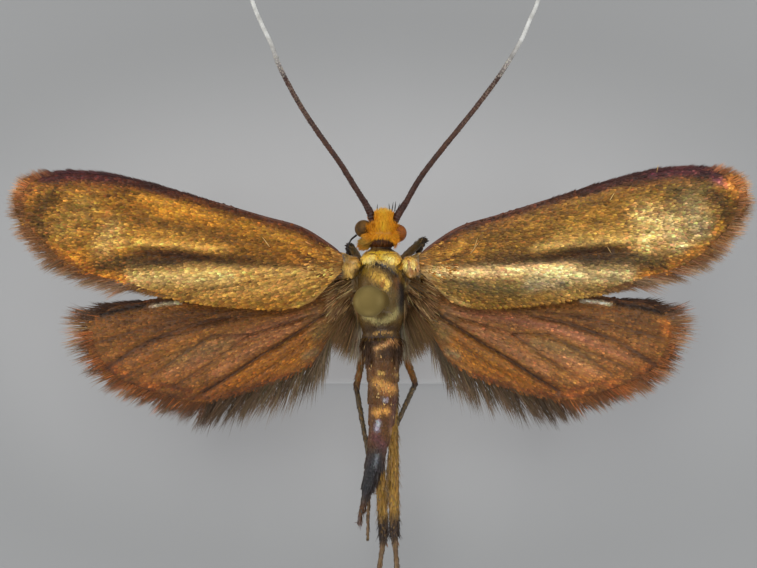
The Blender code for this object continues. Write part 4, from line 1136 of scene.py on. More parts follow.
# Outlines, strokes and folds are shares of the wing's length from its root. A stroke has its side, swatch,
# strength, width and points.
FOREWING_OUTLINE = (
    (-0.034, 0.018), (0.000, 0.048), (0.097, 0.110), (0.225, 0.149), (0.417, 0.209), (0.610, 0.267),
    (0.738, 0.293), (0.841, 0.299), (0.930, 0.287), (0.980, 0.261), (1.000, 0.207), (0.980, 0.135),
    (0.931, 0.069), (0.859, 0.008), (0.769, -0.034), (0.673, -0.058), (0.553, -0.100), (0.361, -0.136),
    (0.168, -0.148), (0.072, -0.130), (0.000, -0.062), (-0.034, -0.030),
)
FOREWING_STROKES = (
    ("both", (120, 82, 32), 0.7, 0.035, (0.06, 0.05), (0.25, 0.075), (0.42, 0.10)),
    ("both", (196, 148, 70), 0.7, 0.030, (0.42, 0.075), (0.55, 0.085), (0.66, 0.10)),
    ("left", (206, 150, 62), 0.8, 0.024, (0.08, 0.06), (0.20, 0.10), (0.33, 0.145), (0.50, 0.19),
     (0.60, 0.21)),
    ("left", (112, 76, 28), 0.7, 0.018, (0.22, 0.075), (0.40, 0.11), (0.60, 0.155)),
    ("right", (158, 114, 48), 0.5, 0.040, (0.30, 0.13), (0.50, 0.18)),
    ("right", (122, 82, 32), 0.6, 0.016, (0.14, 0.085), (0.30, 0.12), (0.52, 0.185), (0.64, 0.225)),
    ("right", (188, 140, 66), 0.6, 0.012, (0.14, 0.105), (0.30, 0.15), (0.50, 0.21), (0.60, 0.235)),
    ("both", (222, 174, 92), 0.9, 0.015, (0.34, 0.042), (0.48, 0.055), (0.60, 0.065), (0.72, 0.070)),
    ("both", (92, 68, 32), 0.9, 0.030, (0.46, 0.004), (0.58, 0.008), (0.68, -0.006), (0.76, -0.022)),
    ("both", (98, 68, 28), 0.9, 0.026, (0.08, -0.002), (0.25, 0.008), (0.42, 0.014), (0.56, 0.018)),
    ("both", (74, 46, 16), 0.95, 0.021, (0.06, -0.020), (0.25, -0.010), (0.38, 0.006), (0.48, 0.026),
     (0.56, 0.038), (0.62, 0.032)),
    ("both", (56, 36, 14), 0.95, 0.017, (0.32, -0.006), (0.44, -0.002), (0.54, 0.006), (0.64, 0.004)),
    ("both", (84, 60, 30), 0.9, 0.015, (0.60, 0.020), (0.70, 0.005), (0.78, -0.010)),
    ("left", (186, 130, 46), 0.6, 0.045, (0.28, 0.11), (0.42, 0.14), (0.56, 0.175)),
    # The pale band along the forewing's back: partly its scales' paler gold and partly painted reflection of
    # the light on the wing's curve
    ("right", (250, 204, 132), 1.0, 0.022, (0.00, -0.036), (0.15, -0.036), (0.30, -0.034), (0.46, -0.030)),
    ("left", (222, 180, 106), 0.8, 0.024, (0.00, -0.036), (0.15, -0.036), (0.30, -0.034), (0.46, -0.030)),
    ("both", (216, 186, 124), 0.9, 0.028, (0.33, -0.050), (0.45, -0.050), (0.58, -0.046), (0.64, -0.045)),
    ("right", (108, 90, 50), 0.8, 0.030, (0.06, -0.075), (0.20, -0.085), (0.32, -0.09)),
    ("left", (176, 140, 80), 0.7, 0.034, (0.06, -0.075), (0.20, -0.085), (0.40, -0.09)),
    ("both", (146, 116, 62), 0.6, 0.030, (0.40, -0.10), (0.52, -0.09)),
    ("right", (160, 150, 118), 0.4, 0.020, (0.32, -0.075), (0.42, -0.070)),
    ("both", (198, 158, 86), 0.8, 0.009, (0.02, -0.085), (0.06, -0.115), (0.12, -0.140)),
    ("both", (186, 126, 46), 0.6, 0.040, (0.03, 0.05), (0.12, 0.03)),
    ("both", (216, 154, 64), 0.8, 0.012, (0.035, 0.015), (0.08, 0.035), (0.10, 0.06)),
    ("both", (86, 56, 28), 0.8, 0.008, (0.03, 0.000), (0.08, 0.012), (0.12, 0.030)),
    # Painted reflection: the pale patch in the outer third of the right forewing
    ("right", (236, 190, 114), 0.9, 0.046, (0.690, 0.140), (0.740, 0.105), (0.700, 0.070)),
    ("right", (232, 192, 122), 0.85, 0.036, (0.76, 0.125), (0.80, 0.055)),
    ("right", (162, 140, 90), 0.85, 0.050, (0.830, 0.185), (0.87, 0.11)),
    ("right", (196, 166, 112), 0.6, 0.020, (0.83, 0.13), (0.86, 0.09)),
    ("left", (142, 112, 58), 0.85, 0.062, (0.79, 0.185), (0.86, 0.12)),
    # Painted reflection: the pale patch in the outer third of the left forewing
    ("left", (178, 146, 90), 0.8, 0.034, (0.70, 0.115), (0.73, 0.06)),
    ("both", (84, 58, 28), 0.9, 0.026, (0.88, 0.235), (0.945, 0.17), (0.935, 0.10)),
    ("both", (100, 66, 34), 0.7, 0.020, (0.66, 0.235), (0.76, 0.255), (0.86, 0.262)),
    ("right", (232, 160, 54), 0.85, 0.014, (0.915, 0.095), (0.93, 0.115)),
    ("right", (106, 86, 46), 0.6, 0.024, (0.78, 0.225), (0.87, 0.230)),
    ("both", (92, 70, 34), 0.75, 0.016, (0.66, 0.010), (0.74, -0.006), (0.78, -0.020)),
    ("right", (224, 146, 54), 0.85, 0.020, (0.78, -0.012), (0.84, 0.024), (0.89, 0.045)),
    ("left", (190, 122, 46), 0.85, 0.020, (0.78, -0.012), (0.84, 0.024), (0.90, 0.055)),
    ("both", (192, 122, 48), 0.85, 0.022, (0.67, -0.05), (0.76, -0.045), (0.83, -0.02), (0.88, 0.01)),
    ("both", (198, 116, 44), 0.8, 0.012, (0.70, -0.060), (0.80, -0.040)),
    ("right", (166, 84, 112), 0.9, 0.012, (0.905, 0.266), (0.950, 0.248)),
    ("right", (236, 142, 58), 0.95, 0.018, (0.950, 0.255), (0.985, 0.22), (1.0, 0.19)),
    ("left", (124, 78, 42), 0.8, 0.018, (0.955, 0.25), (0.985, 0.22), (1.0, 0.19)),
    ("left", (100, 74, 36), 0.8, 0.022, (0.90, 0.215), (0.94, 0.15), (0.92, 0.07)),
    ("left", (118, 86, 44), 0.55, 0.022, (0.30, 0.075), (0.50, 0.115), (0.62, 0.150)),
)
# Paint along the edge: swatch, strength, full width and soft width in mm, shares of the outline
FOREWING_EDGES = (
    ((118, 78, 42), 0.8, 0.06, 0.16, 0.46, 0.62),
    ((98, 60, 28), 0.85, 0.12, 0.20, 0.02, 0.44),
    ((80, 46, 30), 0.95, 0.08, 0.07, 0.02, 0.30),
    ((72, 40, 32), 0.97, 0.10, 0.14, 0.24, 0.44),
    ((72, 38, 38), 0.97, 0.10, 0.16, 0.33, 0.435),
)
# Folds and ridges: depth in mm, width, points
FOREWING_FOLDS = (
    (-0.040, 0.013, (0.08, -0.018), (0.25, -0.012), (0.38, 0.002), (0.48, 0.022), (0.58, 0.033)),
    (0.030, 0.014, (0.36, 0.043), (0.50, 0.055), (0.62, 0.065), (0.74, 0.072)),
    (0.026, 0.018, (0.00, -0.034), (0.30, -0.032), (0.50, -0.040)),
    (0.014, 0.007, (0.60, 0.16), (0.76, 0.22), (0.86, 0.27)),
    (0.014, 0.007, (0.62, 0.14), (0.80, 0.19), (0.92, 0.24)),
    (0.014, 0.007, (0.64, 0.12), (0.82, 0.15), (0.97, 0.19)),
    (0.014, 0.007, (0.64, 0.10), (0.82, 0.10), (0.94, 0.11)),
    (0.014, 0.007, (0.64, 0.07), (0.78, 0.05), (0.87, 0.04)),
)
HINDWING_OUTLINE = (
    (0.000, 0.080), (0.217, 0.058), (0.510, 0.047), (0.670, 0.038), (0.800, 0.020), (0.921, 0.000),
    (0.984, -0.056), (1.000, -0.111), (0.982, -0.182), (0.921, -0.271), (0.849, -0.310), (0.760, -0.345),
    (0.602, -0.386), (0.442, -0.360), (0.307, -0.318), (0.186, -0.270), (0.108, -0.219), (0.044, -0.110),
    (0.000, -0.050),
)
HINDWING_STROKES = (
    ("both", (94, 60, 32), 0.65, 0.020, (0.45, -0.050), (0.60, -0.085), (0.74, -0.135), (0.92, -0.235)),
    ("both", (118, 78, 42), 0.7, 0.026, (0.40, -0.030), (0.65, -0.035), (0.90, -0.060)),
    ("both", (128, 84, 44), 0.6, 0.020, (0.60, -0.075), (0.80, -0.090), (0.95, -0.125)),
    ("right", (178, 114, 78), 0.85, 0.020, (0.14, -0.030), (0.35, -0.055), (0.50, -0.085), (0.64, -0.135),
     (0.82, -0.210)),
    ("left", (160, 104, 68), 0.6, 0.020, (0.16, -0.04), (0.30, -0.09), (0.45, -0.13), (0.60, -0.20)),
    ("both", (170, 112, 70), 0.7, 0.020, (0.18, -0.08), (0.33, -0.16), (0.50, -0.26)),
    ("both", (160, 104, 66), 0.6, 0.016, (0.24, -0.08), (0.40, -0.13), (0.62, -0.26)),
    ("both", (146, 112, 66), 0.7, 0.032, (0.46, -0.15), (0.60, -0.19), (0.68, -0.23)),
    ("both", (176, 112, 58), 0.5, 0.050, (0.62, -0.28), (0.78, -0.24), (0.88, -0.20)),
    ("both", (172, 108, 38), 0.85, 0.040, (0.14, -0.15), (0.20, -0.20), (0.30, -0.255)),
    ("both", (154, 90, 34), 0.8, 0.028, (0.30, -0.27), (0.42, -0.305), (0.55, -0.34)),
    ("both", (104, 66, 32), 0.6, 0.012, (0.16, -0.145), (0.26, -0.205), (0.36, -0.262)),
    ("both", (104, 58, 30), 0.8, 0.014, (0.22, -0.275), (0.36, -0.325), (0.50, -0.355)),
    ("right", (200, 110, 46), 0.7, 0.014, (0.58, -0.355), (0.64, -0.345)),
    ("both", (196, 110, 50), 0.7, 0.018, (0.74, -0.318), (0.78, -0.300)),
    ("both", (196, 110, 52), 0.6, 0.016, (0.86, -0.270), (0.90, -0.240)),
    ("both", (118, 62, 34), 0.7, 0.012, (0.60, -0.335), (0.72, -0.305)),
    ("right", (220, 126, 54), 0.75, 0.020, (0.965, -0.080), (0.975, -0.120)),
    ("both", (88, 58, 36), 0.5, 0.018, (0.62, -0.055), (0.73, -0.090)),
    ("both", (74, 46, 30), 0.55, 0.011, (0.78, -0.160), (0.88, -0.205), (0.94, -0.240)),
    ("both", (80, 50, 30), 0.4, 0.016, (0.36, -0.215), (0.46, -0.275), (0.56, -0.335)),
    ("both", (96, 54, 32), 0.7, 0.012, (0.52, -0.362), (0.66, -0.358), (0.76, -0.332), (0.86, -0.292),
     (0.93, -0.240)),
    ("both", (196, 132, 84), 0.5, 0.014, (0.56, -0.20), (0.70, -0.27)),
    ("both", (164, 118, 72), 0.8, 0.045, (0.03, -0.02), (0.12, -0.05)),
    ("both", (120, 100, 58), 0.7, 0.032, (0.05, -0.08), (0.10, -0.12)),
    ("both", (150, 134, 96), 0.6, 0.016, (0.11, -0.185), (0.15, -0.20)),
    ("both", (34, 24, 16), 0.97, 0.014, (0.78, 0.004), (0.86, -0.008), (0.95, -0.030)),
    ("both", (56, 36, 24), 0.8, 0.010, (0.40, 0.030), (0.62, 0.020), (0.78, 0.016)),
    ("right", (168, 110, 58), 0.5, 0.050, (0.72, -0.14), (0.88, -0.17)),
    ("left", (182, 112, 36), 0.6, 0.034, (0.20, -0.19), (0.42, -0.29)),
    ("right", (176, 110, 34), 0.5, 0.026, (0.22, -0.21), (0.42, -0.30)),
    ("both", (240, 222, 186), 0.9, 0.0065, (0.640, 0.014), (0.700, 0.010), (0.750, 0.001)),
)
HINDWING_EDGES = (
    ((92, 58, 34), 0.8, 0.02, 0.08, 0.00, 0.40),
    ((146, 88, 46), 0.6, 0.00, 0.08, 0.46, 0.62),
    ((110, 62, 32), 0.6, 0.00, 0.08, 0.62, 1.00),
)
HINDWING_FOLDS = (
    (-0.075, 0.011, (0.06, -0.03), (0.13, -0.075), (0.23, -0.14), (0.33, -0.20), (0.45, -0.28),
     (0.55, -0.34)),
    (-0.045, 0.008, (0.10, -0.035), (0.25, -0.08), (0.37, -0.115), (0.51, -0.115), (0.62, -0.18),
     (0.75, -0.27)),
    (-0.040, 0.006, (0.37, -0.115), (0.50, -0.21), (0.66, -0.31)),
    (-0.050, 0.010, (0.45, -0.045), (0.58, -0.07), (0.72, -0.12), (0.82, -0.165), (0.93, -0.245)),
    (-0.035, 0.008, (0.50, -0.03), (0.70, -0.06), (0.85, -0.105), (0.95, -0.135)),
    (-0.030, 0.006, (0.60, -0.16), (0.75, -0.22), (0.86, -0.275)),
    (-0.030, 0.008, (0.12, -0.13), (0.25, -0.22), (0.38, -0.30)),
    (0.030, 0.014, (0.14, -0.03), (0.35, -0.055), (0.50, -0.085), (0.62, -0.13), (0.80, -0.215)),
)
# Length, root and the source that the rows of scales circle in mm, and turns in degrees. Clouds are soft
# unevenness: the length and width of a cell, and its strength. painted_side_light is painted light and shade
# on one side's wings, by which its paint is raised or lowered, and fold_shade how dark the painted shade in a
# fold gets for its depth.
WINGS = {
    "forewing": {
        "length": 8.32,
        "clouds": ((0.55, 0.08, 0.18), (0.075, 0.055, 0.22), (1.4, 0.5, 0.08)),
        "painted_side_light": {"left": (1.20, 1.06, 0.80)},
        "fold_shade": 5,
        "root": (1.30, 1.03, 0.45),
        "turn": {"left": -0.9, "right": 0.0},
        "source": (-3.2, 0.35),
        "outline": FOREWING_OUTLINE,
        "ground": (144, 101, 38),
        "strokes": FOREWING_STROKES,
        "edges": FOREWING_EDGES,
        "folds": FOREWING_FOLDS,
    },
    "hindwing": {
        "length": 6.83,
        "clouds": ((0.05, 0.10, 0.16), (0.70, 0.07, 0.14), (1.2, 0.6, 0.10)),
        "painted_side_light": {"left": (0.90, 0.86, 0.80)},
        "fold_shade": 11,
        "root": (1.02, -0.12, -0.40),
        "turn": {"left": -0.6, "right": 0.0},
        "source": (-1.2, 0.45),
        "outline": HINDWING_OUTLINE,
        "ground": (141, 92, 44),
        "strokes": HINDWING_STROKES,
        "edges": HINDWING_EDGES,
        "folds": HINDWING_FOLDS,
    },
}
FOLD_SHADE_COLOUR = (58, 35, 20)
WING_RISE = math.tan(math.radians(2.5))
# The wing's arch between front and back edge and half its thickness, in mm, which thins out over EDGE_WIDTH
WING_ARCH = 0.16
MEMBRANE, MEMBRANE_EDGE, EDGE_WIDTH = 0.13, 0.03, 0.5
CLOUD_CELLS, CLOUD_START, ANGLE_STRETCH = 256, 60, 7.0


def clouded(places, cell, seed):
    """A soft random field with cells of the given length and width, from about -1 to 1."""
    grid = np.random.default_rng(seed).uniform(-1, 1, (CLOUD_CELLS, CLOUD_CELLS))
    spots = places / np.array(cell) + CLOUD_START
    corner = np.floor(spots).astype(int)
    part = spots - corner
    part = part * part * (3 - 2 * part)
    field = 0
    for i in (0, 1):
        for j in (0, 1):
            weight = np.abs(1 - i - part[:, 0]) * np.abs(1 - j - part[:, 1])
            across, along = ((corner + (i, j)) % CLOUD_CELLS).T
            field = field + weight * grid[across, along]
    return field


def left_of(ways):
    """Flat directions turned a quarter to the left."""
    return np.column_stack((-ways[:, 1], ways[:, 0]))


class WingShape:
    """A wing laid flat, as on the right, and the surface that its membrane, scales and fringe share."""

    def __init__(self, kind):
        self.kind, self.facts = kind, WINGS[kind]
        self.length = self.facts["length"]
        self.root = np.array(self.facts["root"]) + (0, 0, AXIS_HEIGHT)
        flat = np.array([(x, y, 0) for x, y in self.facts["outline"]]) * self.length
        self.edge = smooth_path(flat - (0, 0, AXIS_HEIGHT), 481)[:, :2]
        self.tangent = unit(np.gradient(self.edge, axis=0))
        angles = np.arctan2(self.edge[:, 1], self.edge[:, 0] + 1e-6)
        order = np.argsort(-angles)
        self.angles, self.shares = -angles[order], np.linspace(0, 1, len(angles))[order]
        self.reaches = np.linalg.norm(self.edge, axis=1)[order]
        self.perimeter = np.linalg.norm(np.diff(self.edge, axis=0), axis=1).sum()

    def at(self, values, shares):
        """Values of the outline at shares along it."""
        marks = np.linspace(0, 1, len(self.edge))
        return np.column_stack([np.interp(shares, marks, values[:, k]) for k in range(2)])

    def fan(self, flat):
        """The share of the outline that a flat point looks at, and how far out it is from the root."""
        angle = -np.arctan2(flat[:, 1], flat[:, 0] + 1e-6)
        share = np.interp(angle, self.angles, self.shares)
        return share, np.linalg.norm(flat, axis=1) / np.interp(angle, self.angles, self.reaches)

    def edge_distance(self, flat):
        """Millimetres to the outline, and the share of the outline that is nearest."""
        near, share = np.full(len(flat), 99.0), np.zeros(len(flat))
        for k in range(0, len(self.edge), 3):
            gap = np.linalg.norm(flat - self.edge[k], axis=1)
            closer = gap < near
            near[closer], share[closer] = gap[closer], k / (len(self.edge) - 1)
        return near, share

    def middle(self, flat):
        """Height of the wing's middle surface above its root, folds and ridges included."""
        share, out = self.fan(flat)
        height = flat[:, 0] * WING_RISE + WING_ARCH * np.sin(math.pi * share) * np.clip(out, 0, 1)
        for depth, width, *line in self.facts["folds"]:
            height += depth * np.exp(-(stroke_gap(flat / self.length, line) / width) ** 2)
        return height

    def half_thickness(self, near):
        """Half the wing's thickness at some distance from its edge."""
        return MEMBRANE_EDGE + (MEMBRANE - MEMBRANE_EDGE) * np.clip(near / EDGE_WIDTH, 0, 1)

    def surface(self, flat, face):
        """Height of the top (1) or the underside (-1) of the wing."""
        return self.middle(flat) + face * self.half_thickness(self.edge_distance(flat)[0])

    def turned(self, flat, side):
        """X and Y of flat points on a wing that is set a little forwards or backwards."""
        turn = math.radians(self.facts["turn"][side])
        x = flat[:, 0] * math.cos(turn) - flat[:, 1] * math.sin(turn)
        return x, flat[:, 0] * math.sin(turn) + flat[:, 1] * math.cos(turn)

    def placed(self, flat, height, side):
        """Flat points and their heights moved to their place on the moth."""
        x, y = self.turned(flat, side)
        x, y = x + self.root[0], y + self.root[1]
        return np.column_stack((x * SIDES[side], y, height + self.root[2]))

    def aimed(self, flat_ways, rises, side):
        """Flat directions and their rises turned to the moth."""
        x, y = self.turned(flat_ways, side)
        return unit(np.column_stack((x * SIDES[side], y, rises)))

    def unwrap(self, flat):
        """The wing's own unwrapping, for flat points."""
        low, high = self.edge.min(axis=0), self.edge.max(axis=0)
        return (flat - low) / (high - low).max() * 0.98 + 0.01

    def flow(self, flat, near, share):
        """The lie of the scales: away from the wing's source, and along the front edge beside it."""
        ways = unit(flat - self.facts["source"])
        beside = (np.clip(1.25 - near / 0.35, 0, 1) * np.clip((0.45 - share) / 0.08, 0, 1) * 0.97)[:, None]
        return unit(ways * (1 - beside) + self.at(self.tangent, share) * beside)

    def colours(self, flat, near, share, side):
        """The wing's markings at flat points."""
        spots = flat / self.length
        strokes = [stroke for where, *stroke in self.facts["strokes"] if where in ("both", side)]
        colours = painted(spots, self.facts["ground"], strokes)
        # Painted shade: each groove of the wing is painted darker, the deeper the groove the darker
        for depth, width, *line in self.facts["folds"]:
            if depth < 0:
                shade = min(0.95, -depth * self.facts["fold_shade"])
                gap = stroke_gap(spots, line) / (width * 0.75)
                lay_over(colours, FOLD_SHADE_COLOUR, shade * np.exp(-gap ** 2))
        for colour, strength, inner, width, start, end in self.facts["edges"]:
            window = np.clip((share - start) / 0.02 + 0.5, 0, 1) * np.clip((end - share) / 0.02 + 0.5, 0, 1)
            weight = strength * np.where(near < inner, 1.0, np.exp(-((near - inner) / width) ** 2)) * window
            lay_over(colours, colour, weight)
        from_source = flat - self.facts["source"]
        angle = np.arctan2(from_source[:, 1], from_source[:, 0])
        polar = np.column_stack((np.linalg.norm(from_source, axis=1), angle * ANGLE_STRETCH))
        # Painted light and shade: the colours of one side's wings are raised or lowered as a whole
        colours *= self.facts["painted_side_light"].get(side, 1.0)
        clouds = enumerate(self.facts["clouds"], 3 if side == "right" else 23)
        light = sum(strength * clouded(polar, cell, seed) for seed, (*cell, strength) in clouds)
        return np.clip(colours * np.exp(2 * light)[:, None], 0, 1)


wing_scales = {
    "forewing": vane_finish("forewing_scales", 0.66, 0.38, Metallic=0.62),
    "hindwing": vane_finish("hindwing_scales", 0.66, 0.45, Metallic=0.2, Specular_IOR_Level=0.25),
}
fringe_finish = vane_finish("fringe_hair", 0.75, 0.5, Metallic=0.1)
membrane_finish, tree, shader = new_finish("wing_membrane", Roughness=0.45, Metallic=0.3)
own = lay(tree, "ShaderNodeAttribute", attribute_name="paint").outputs["Color"]
shades = {"Scale": 1800.0, "Low": (0.5, 0.5, 0.5), "High": (0.9, 0.9, 0.9)}
cloud = use_group(tree, mottle_group, shades)["Colour"]
tree.links.new(mixed(tree, 1.0, own, cloud, "MULTIPLY"), shader.inputs["Base Color"])

# The membrane's points from the root outwards and along the outline
ROWS, LINES = 70, 220
# Length and width of a scale, gap between rows and between scales in a row in mm, how far the scales stray
# from their rows as a share of the gaps, and how much they roll
SCALE_BUILD = {
    "forewing": (0.135, 0.064, 0.056, 0.046, 0.22, 0.14),
    "hindwing": (0.120, 0.054, 0.074, 0.040, 0.15, 0.07),
}
TOP_PROFILE = ((0.0, 0.4), (0.5, 1.0), (0.88, 0.7))
# The underside has fewer scales, and none stand nearer to the edge than this, in mm
UNDER_GAP, EDGE_MARGIN = 1.35, 0.015
# The arc of the rows in radians, and the step in mm by which the surface's slope is felt
ARC_START, ARC_END, SLOPE_STEP = -1.3, 0.9, 0.06


def membrane(shape, side):
    """The closed slab that carries the scales, thin at the outline."""
    edge = shape.at(shape.edge, np.linspace(0, 1, LINES))
    inner = edge[0] + (edge[-1] - edge[0]) * np.linspace(0, 1, LINES)[:, None]
    outs = np.linspace(0, 1, ROWS) ** 0.9
    flat = (inner[None] + (edge - inner)[None] * outs[:, None, None]).reshape(-1, 2)
    near, share = shape.edge_distance(flat)
    middle, half = shape.middle(flat), shape.half_thickness(near)
    paints = np.tile(shape.colours(flat, near, share, side), (2, 1))
    points = np.vstack((shape.placed(flat, middle + half, side), shape.placed(flat, middle - half, side)))
    level = ROWS * LINES
    row, line = np.meshgrid(np.arange(ROWS - 1), np.arange(LINES - 1), indexing="ij")
    near = (row * LINES + line).ravel()
    top = np.column_stack((near, near + 1, near + LINES + 1, near + LINES))
    faces = [tuple(face) for face in top] + [tuple(face[::-1] + level) for face in top]
    border = list(range(LINES)) + [r * LINES + LINES - 1 for r in range(1, ROWS)]
    border += [(ROWS - 1) * LINES + k for k in range(LINES - 2, -1, -1)]
    border += [r * LINES for r in range(ROWS - 2, 0, -1)]
    for a, b in zip(border, border[1:] + border[:1]):
        faces.append((b, a, a + level, b + level))
    if side == "right":
        faces = [face[::-1] for face in faces]
    made = add_mesh(f"{shape.kind}_membrane_{side}", points, faces, membrane_finish)
    stain(made.data, paints)
    return made


def scale_coat(shape, side, face, name):
    """Overlapping scales in cross rows on one face of a wing. face is 1 on top and -1 below."""
    length, width, row_gap, column_gap, jitter, roll_spread = SCALE_BUILD[shape.kind]
    if face < 0:
        row_gap, column_gap = row_gap * UNDER_GAP, column_gap * UNDER_GAP
    source = np.array(shape.facts["source"])
    flat, reaches = [], np.arange(-source[0], shape.edge[:, 0].max() - source[0] + 0.2, row_gap)
    for number, reach in enumerate(reaches):
        arc = np.arange(ARC_START, ARC_END, column_gap / reach) + (number % 2) * 0.5 * column_gap / reach
        flat.append(source + np.column_stack((reach * np.cos(arc), reach * np.sin(arc))))
    flat = np.concatenate(flat)
    flat = flat + draw.normal(0, jitter, flat.shape) * (row_gap, column_gap)
    flat = flat[(shape.fan(flat)[1] < 1.0) & (flat[:, 0] > shape.edge[0, 0])]
    near, share = shape.edge_distance(flat)
    inside = near > EDGE_MARGIN
    flat, near, share = flat[inside], near[inside], share[inside]
    count = len(flat)
    ways = shape.flow(flat, near, share)
    side_ways = left_of(ways)
    ways = unit(ways + side_ways * draw.normal(0, 0.10, count)[:, None])
    level = shape.surface(flat, face)
    rise = (shape.surface(flat + ways * SLOPE_STEP, face) - level) / SLOPE_STEP
    slope = (shape.surface(flat + side_ways * SLOPE_STEP, face) - level) / SLOPE_STEP
    roots = shape.placed(flat, level - face * 0.006, side)
    seen = flat + ways * length * 0.6
    paints = shape.colours(seen, *shape.edge_distance(seen), side)
    placed_ways = shape.aimed(ways, rise + face * draw.uniform(0.03, 0.13, count), side)
    roll = draw.normal(0, roll_spread, count) - slope * face
    ups = shape.aimed(side_ways * roll[:, None], np.ones(count), side) * face
    size = draw.uniform(0.8, 1.2, count)
    coat = vanes(name, roots, placed_ways, ups, length * size, width * size, wing_scales[shape.kind],
                 shape.unwrap(flat), paints, depth=0.08, profile=TOP_PROFILE if face > 0 else SCALE_PROFILE,
                 variety=0.24 + 0.08 * (seen[:, 0] > 5.2) if shape.kind == "forewing" else 0.22)


# The fringe along the outline: share, length in mm, hairs for each mm, how far the hairs are drawn together
# into bunches, and swatches of long and of short hairs
FRINGES = {
    "forewing": (
        (0.20, 0.05, 200, 0.1, (84, 50, 34), (84, 50, 34)),
        (0.33, 0.10, 300, 0.1, (82, 50, 42), (84, 50, 48)),
        (0.41, 0.18, 460, 0.15, (98, 60, 52), (104, 58, 60)),
        (0.455, 0.32, 480, 0.2, (196, 146, 104), (210, 130, 72)),
        (0.50, 0.40, 440, 0.25, (196, 152, 114), (164, 112, 68)),
        (0.58, 0.50, 440, 0.3, (178, 138, 100), (160, 108, 62)),
        (0.65, 0.66, 420, 0.4, (168, 132, 98), (156, 100, 58)),
        (0.685, 0.80, 380, 0.45, (164, 126, 92), (148, 98, 58)),
        (0.70, 0.30, 380, 0.3, (134, 98, 62), (140, 92, 52)),
        (0.74, 0.08, 300, 0.2, (150, 116, 62), (140, 100, 52)),
    ),
    "hindwing": (
        (0.345, 0.06, 260, 0.1, (60, 40, 28), (60, 40, 28)),
        (0.385, 0.26, 400, 0.2, (84, 60, 42), (96, 62, 40)),
        (0.41, 0.60, 440, 0.25, (96, 70, 50), (84, 56, 38)),
        (0.430, 0.74, 420, 0.25, (130, 96, 70), (104, 70, 46)),
        (0.44, 0.74, 400, 0.25, (160, 118, 80), (222, 128, 64)),
        (0.47, 0.64, 380, 0.25, (160, 122, 88), (156, 98, 56)),
        (0.50, 0.54, 380, 0.3, (144, 110, 80), (172, 104, 56)),
        (0.55, 0.50, 380, 0.3, (136, 100, 70), (132, 82, 46)),
        (0.60, 0.48, 380, 0.35, (136, 100, 68), (172, 100, 50)),
        (0.64, 0.48, 380, 0.4, (122, 90, 62), (124, 78, 44)),
        (0.68, 0.54, 400, 0.45, (110, 82, 58), (140, 86, 46)),
        (0.74, 0.88, 300, 0.55, (96, 74, 52), (100, 66, 38)),
        (0.86, 1.15, 240, 0.55, (116, 94, 68), (92, 66, 42)),
        (0.97, 1.20, 240, 0.5, (126, 106, 80), (96, 74, 50)),
    ),
}
# A bunch's length of edge and how far a hair's root lies inside it, in mm, and how much the hairs fan out
BUNCH, HAIR_ROOT, HAIR_FAN = 0.15, 0.12, 1.8
SHORT_SHARE, SHORT_LENGTH = 0.42, 0.55
# Bright hairs among those of the hindwing's end: their share, swatch and stretch of the outline
FLECK_SHARE, FLECK, FLECKED = 0.08, (226, 128, 62), (0.42, 0.69)


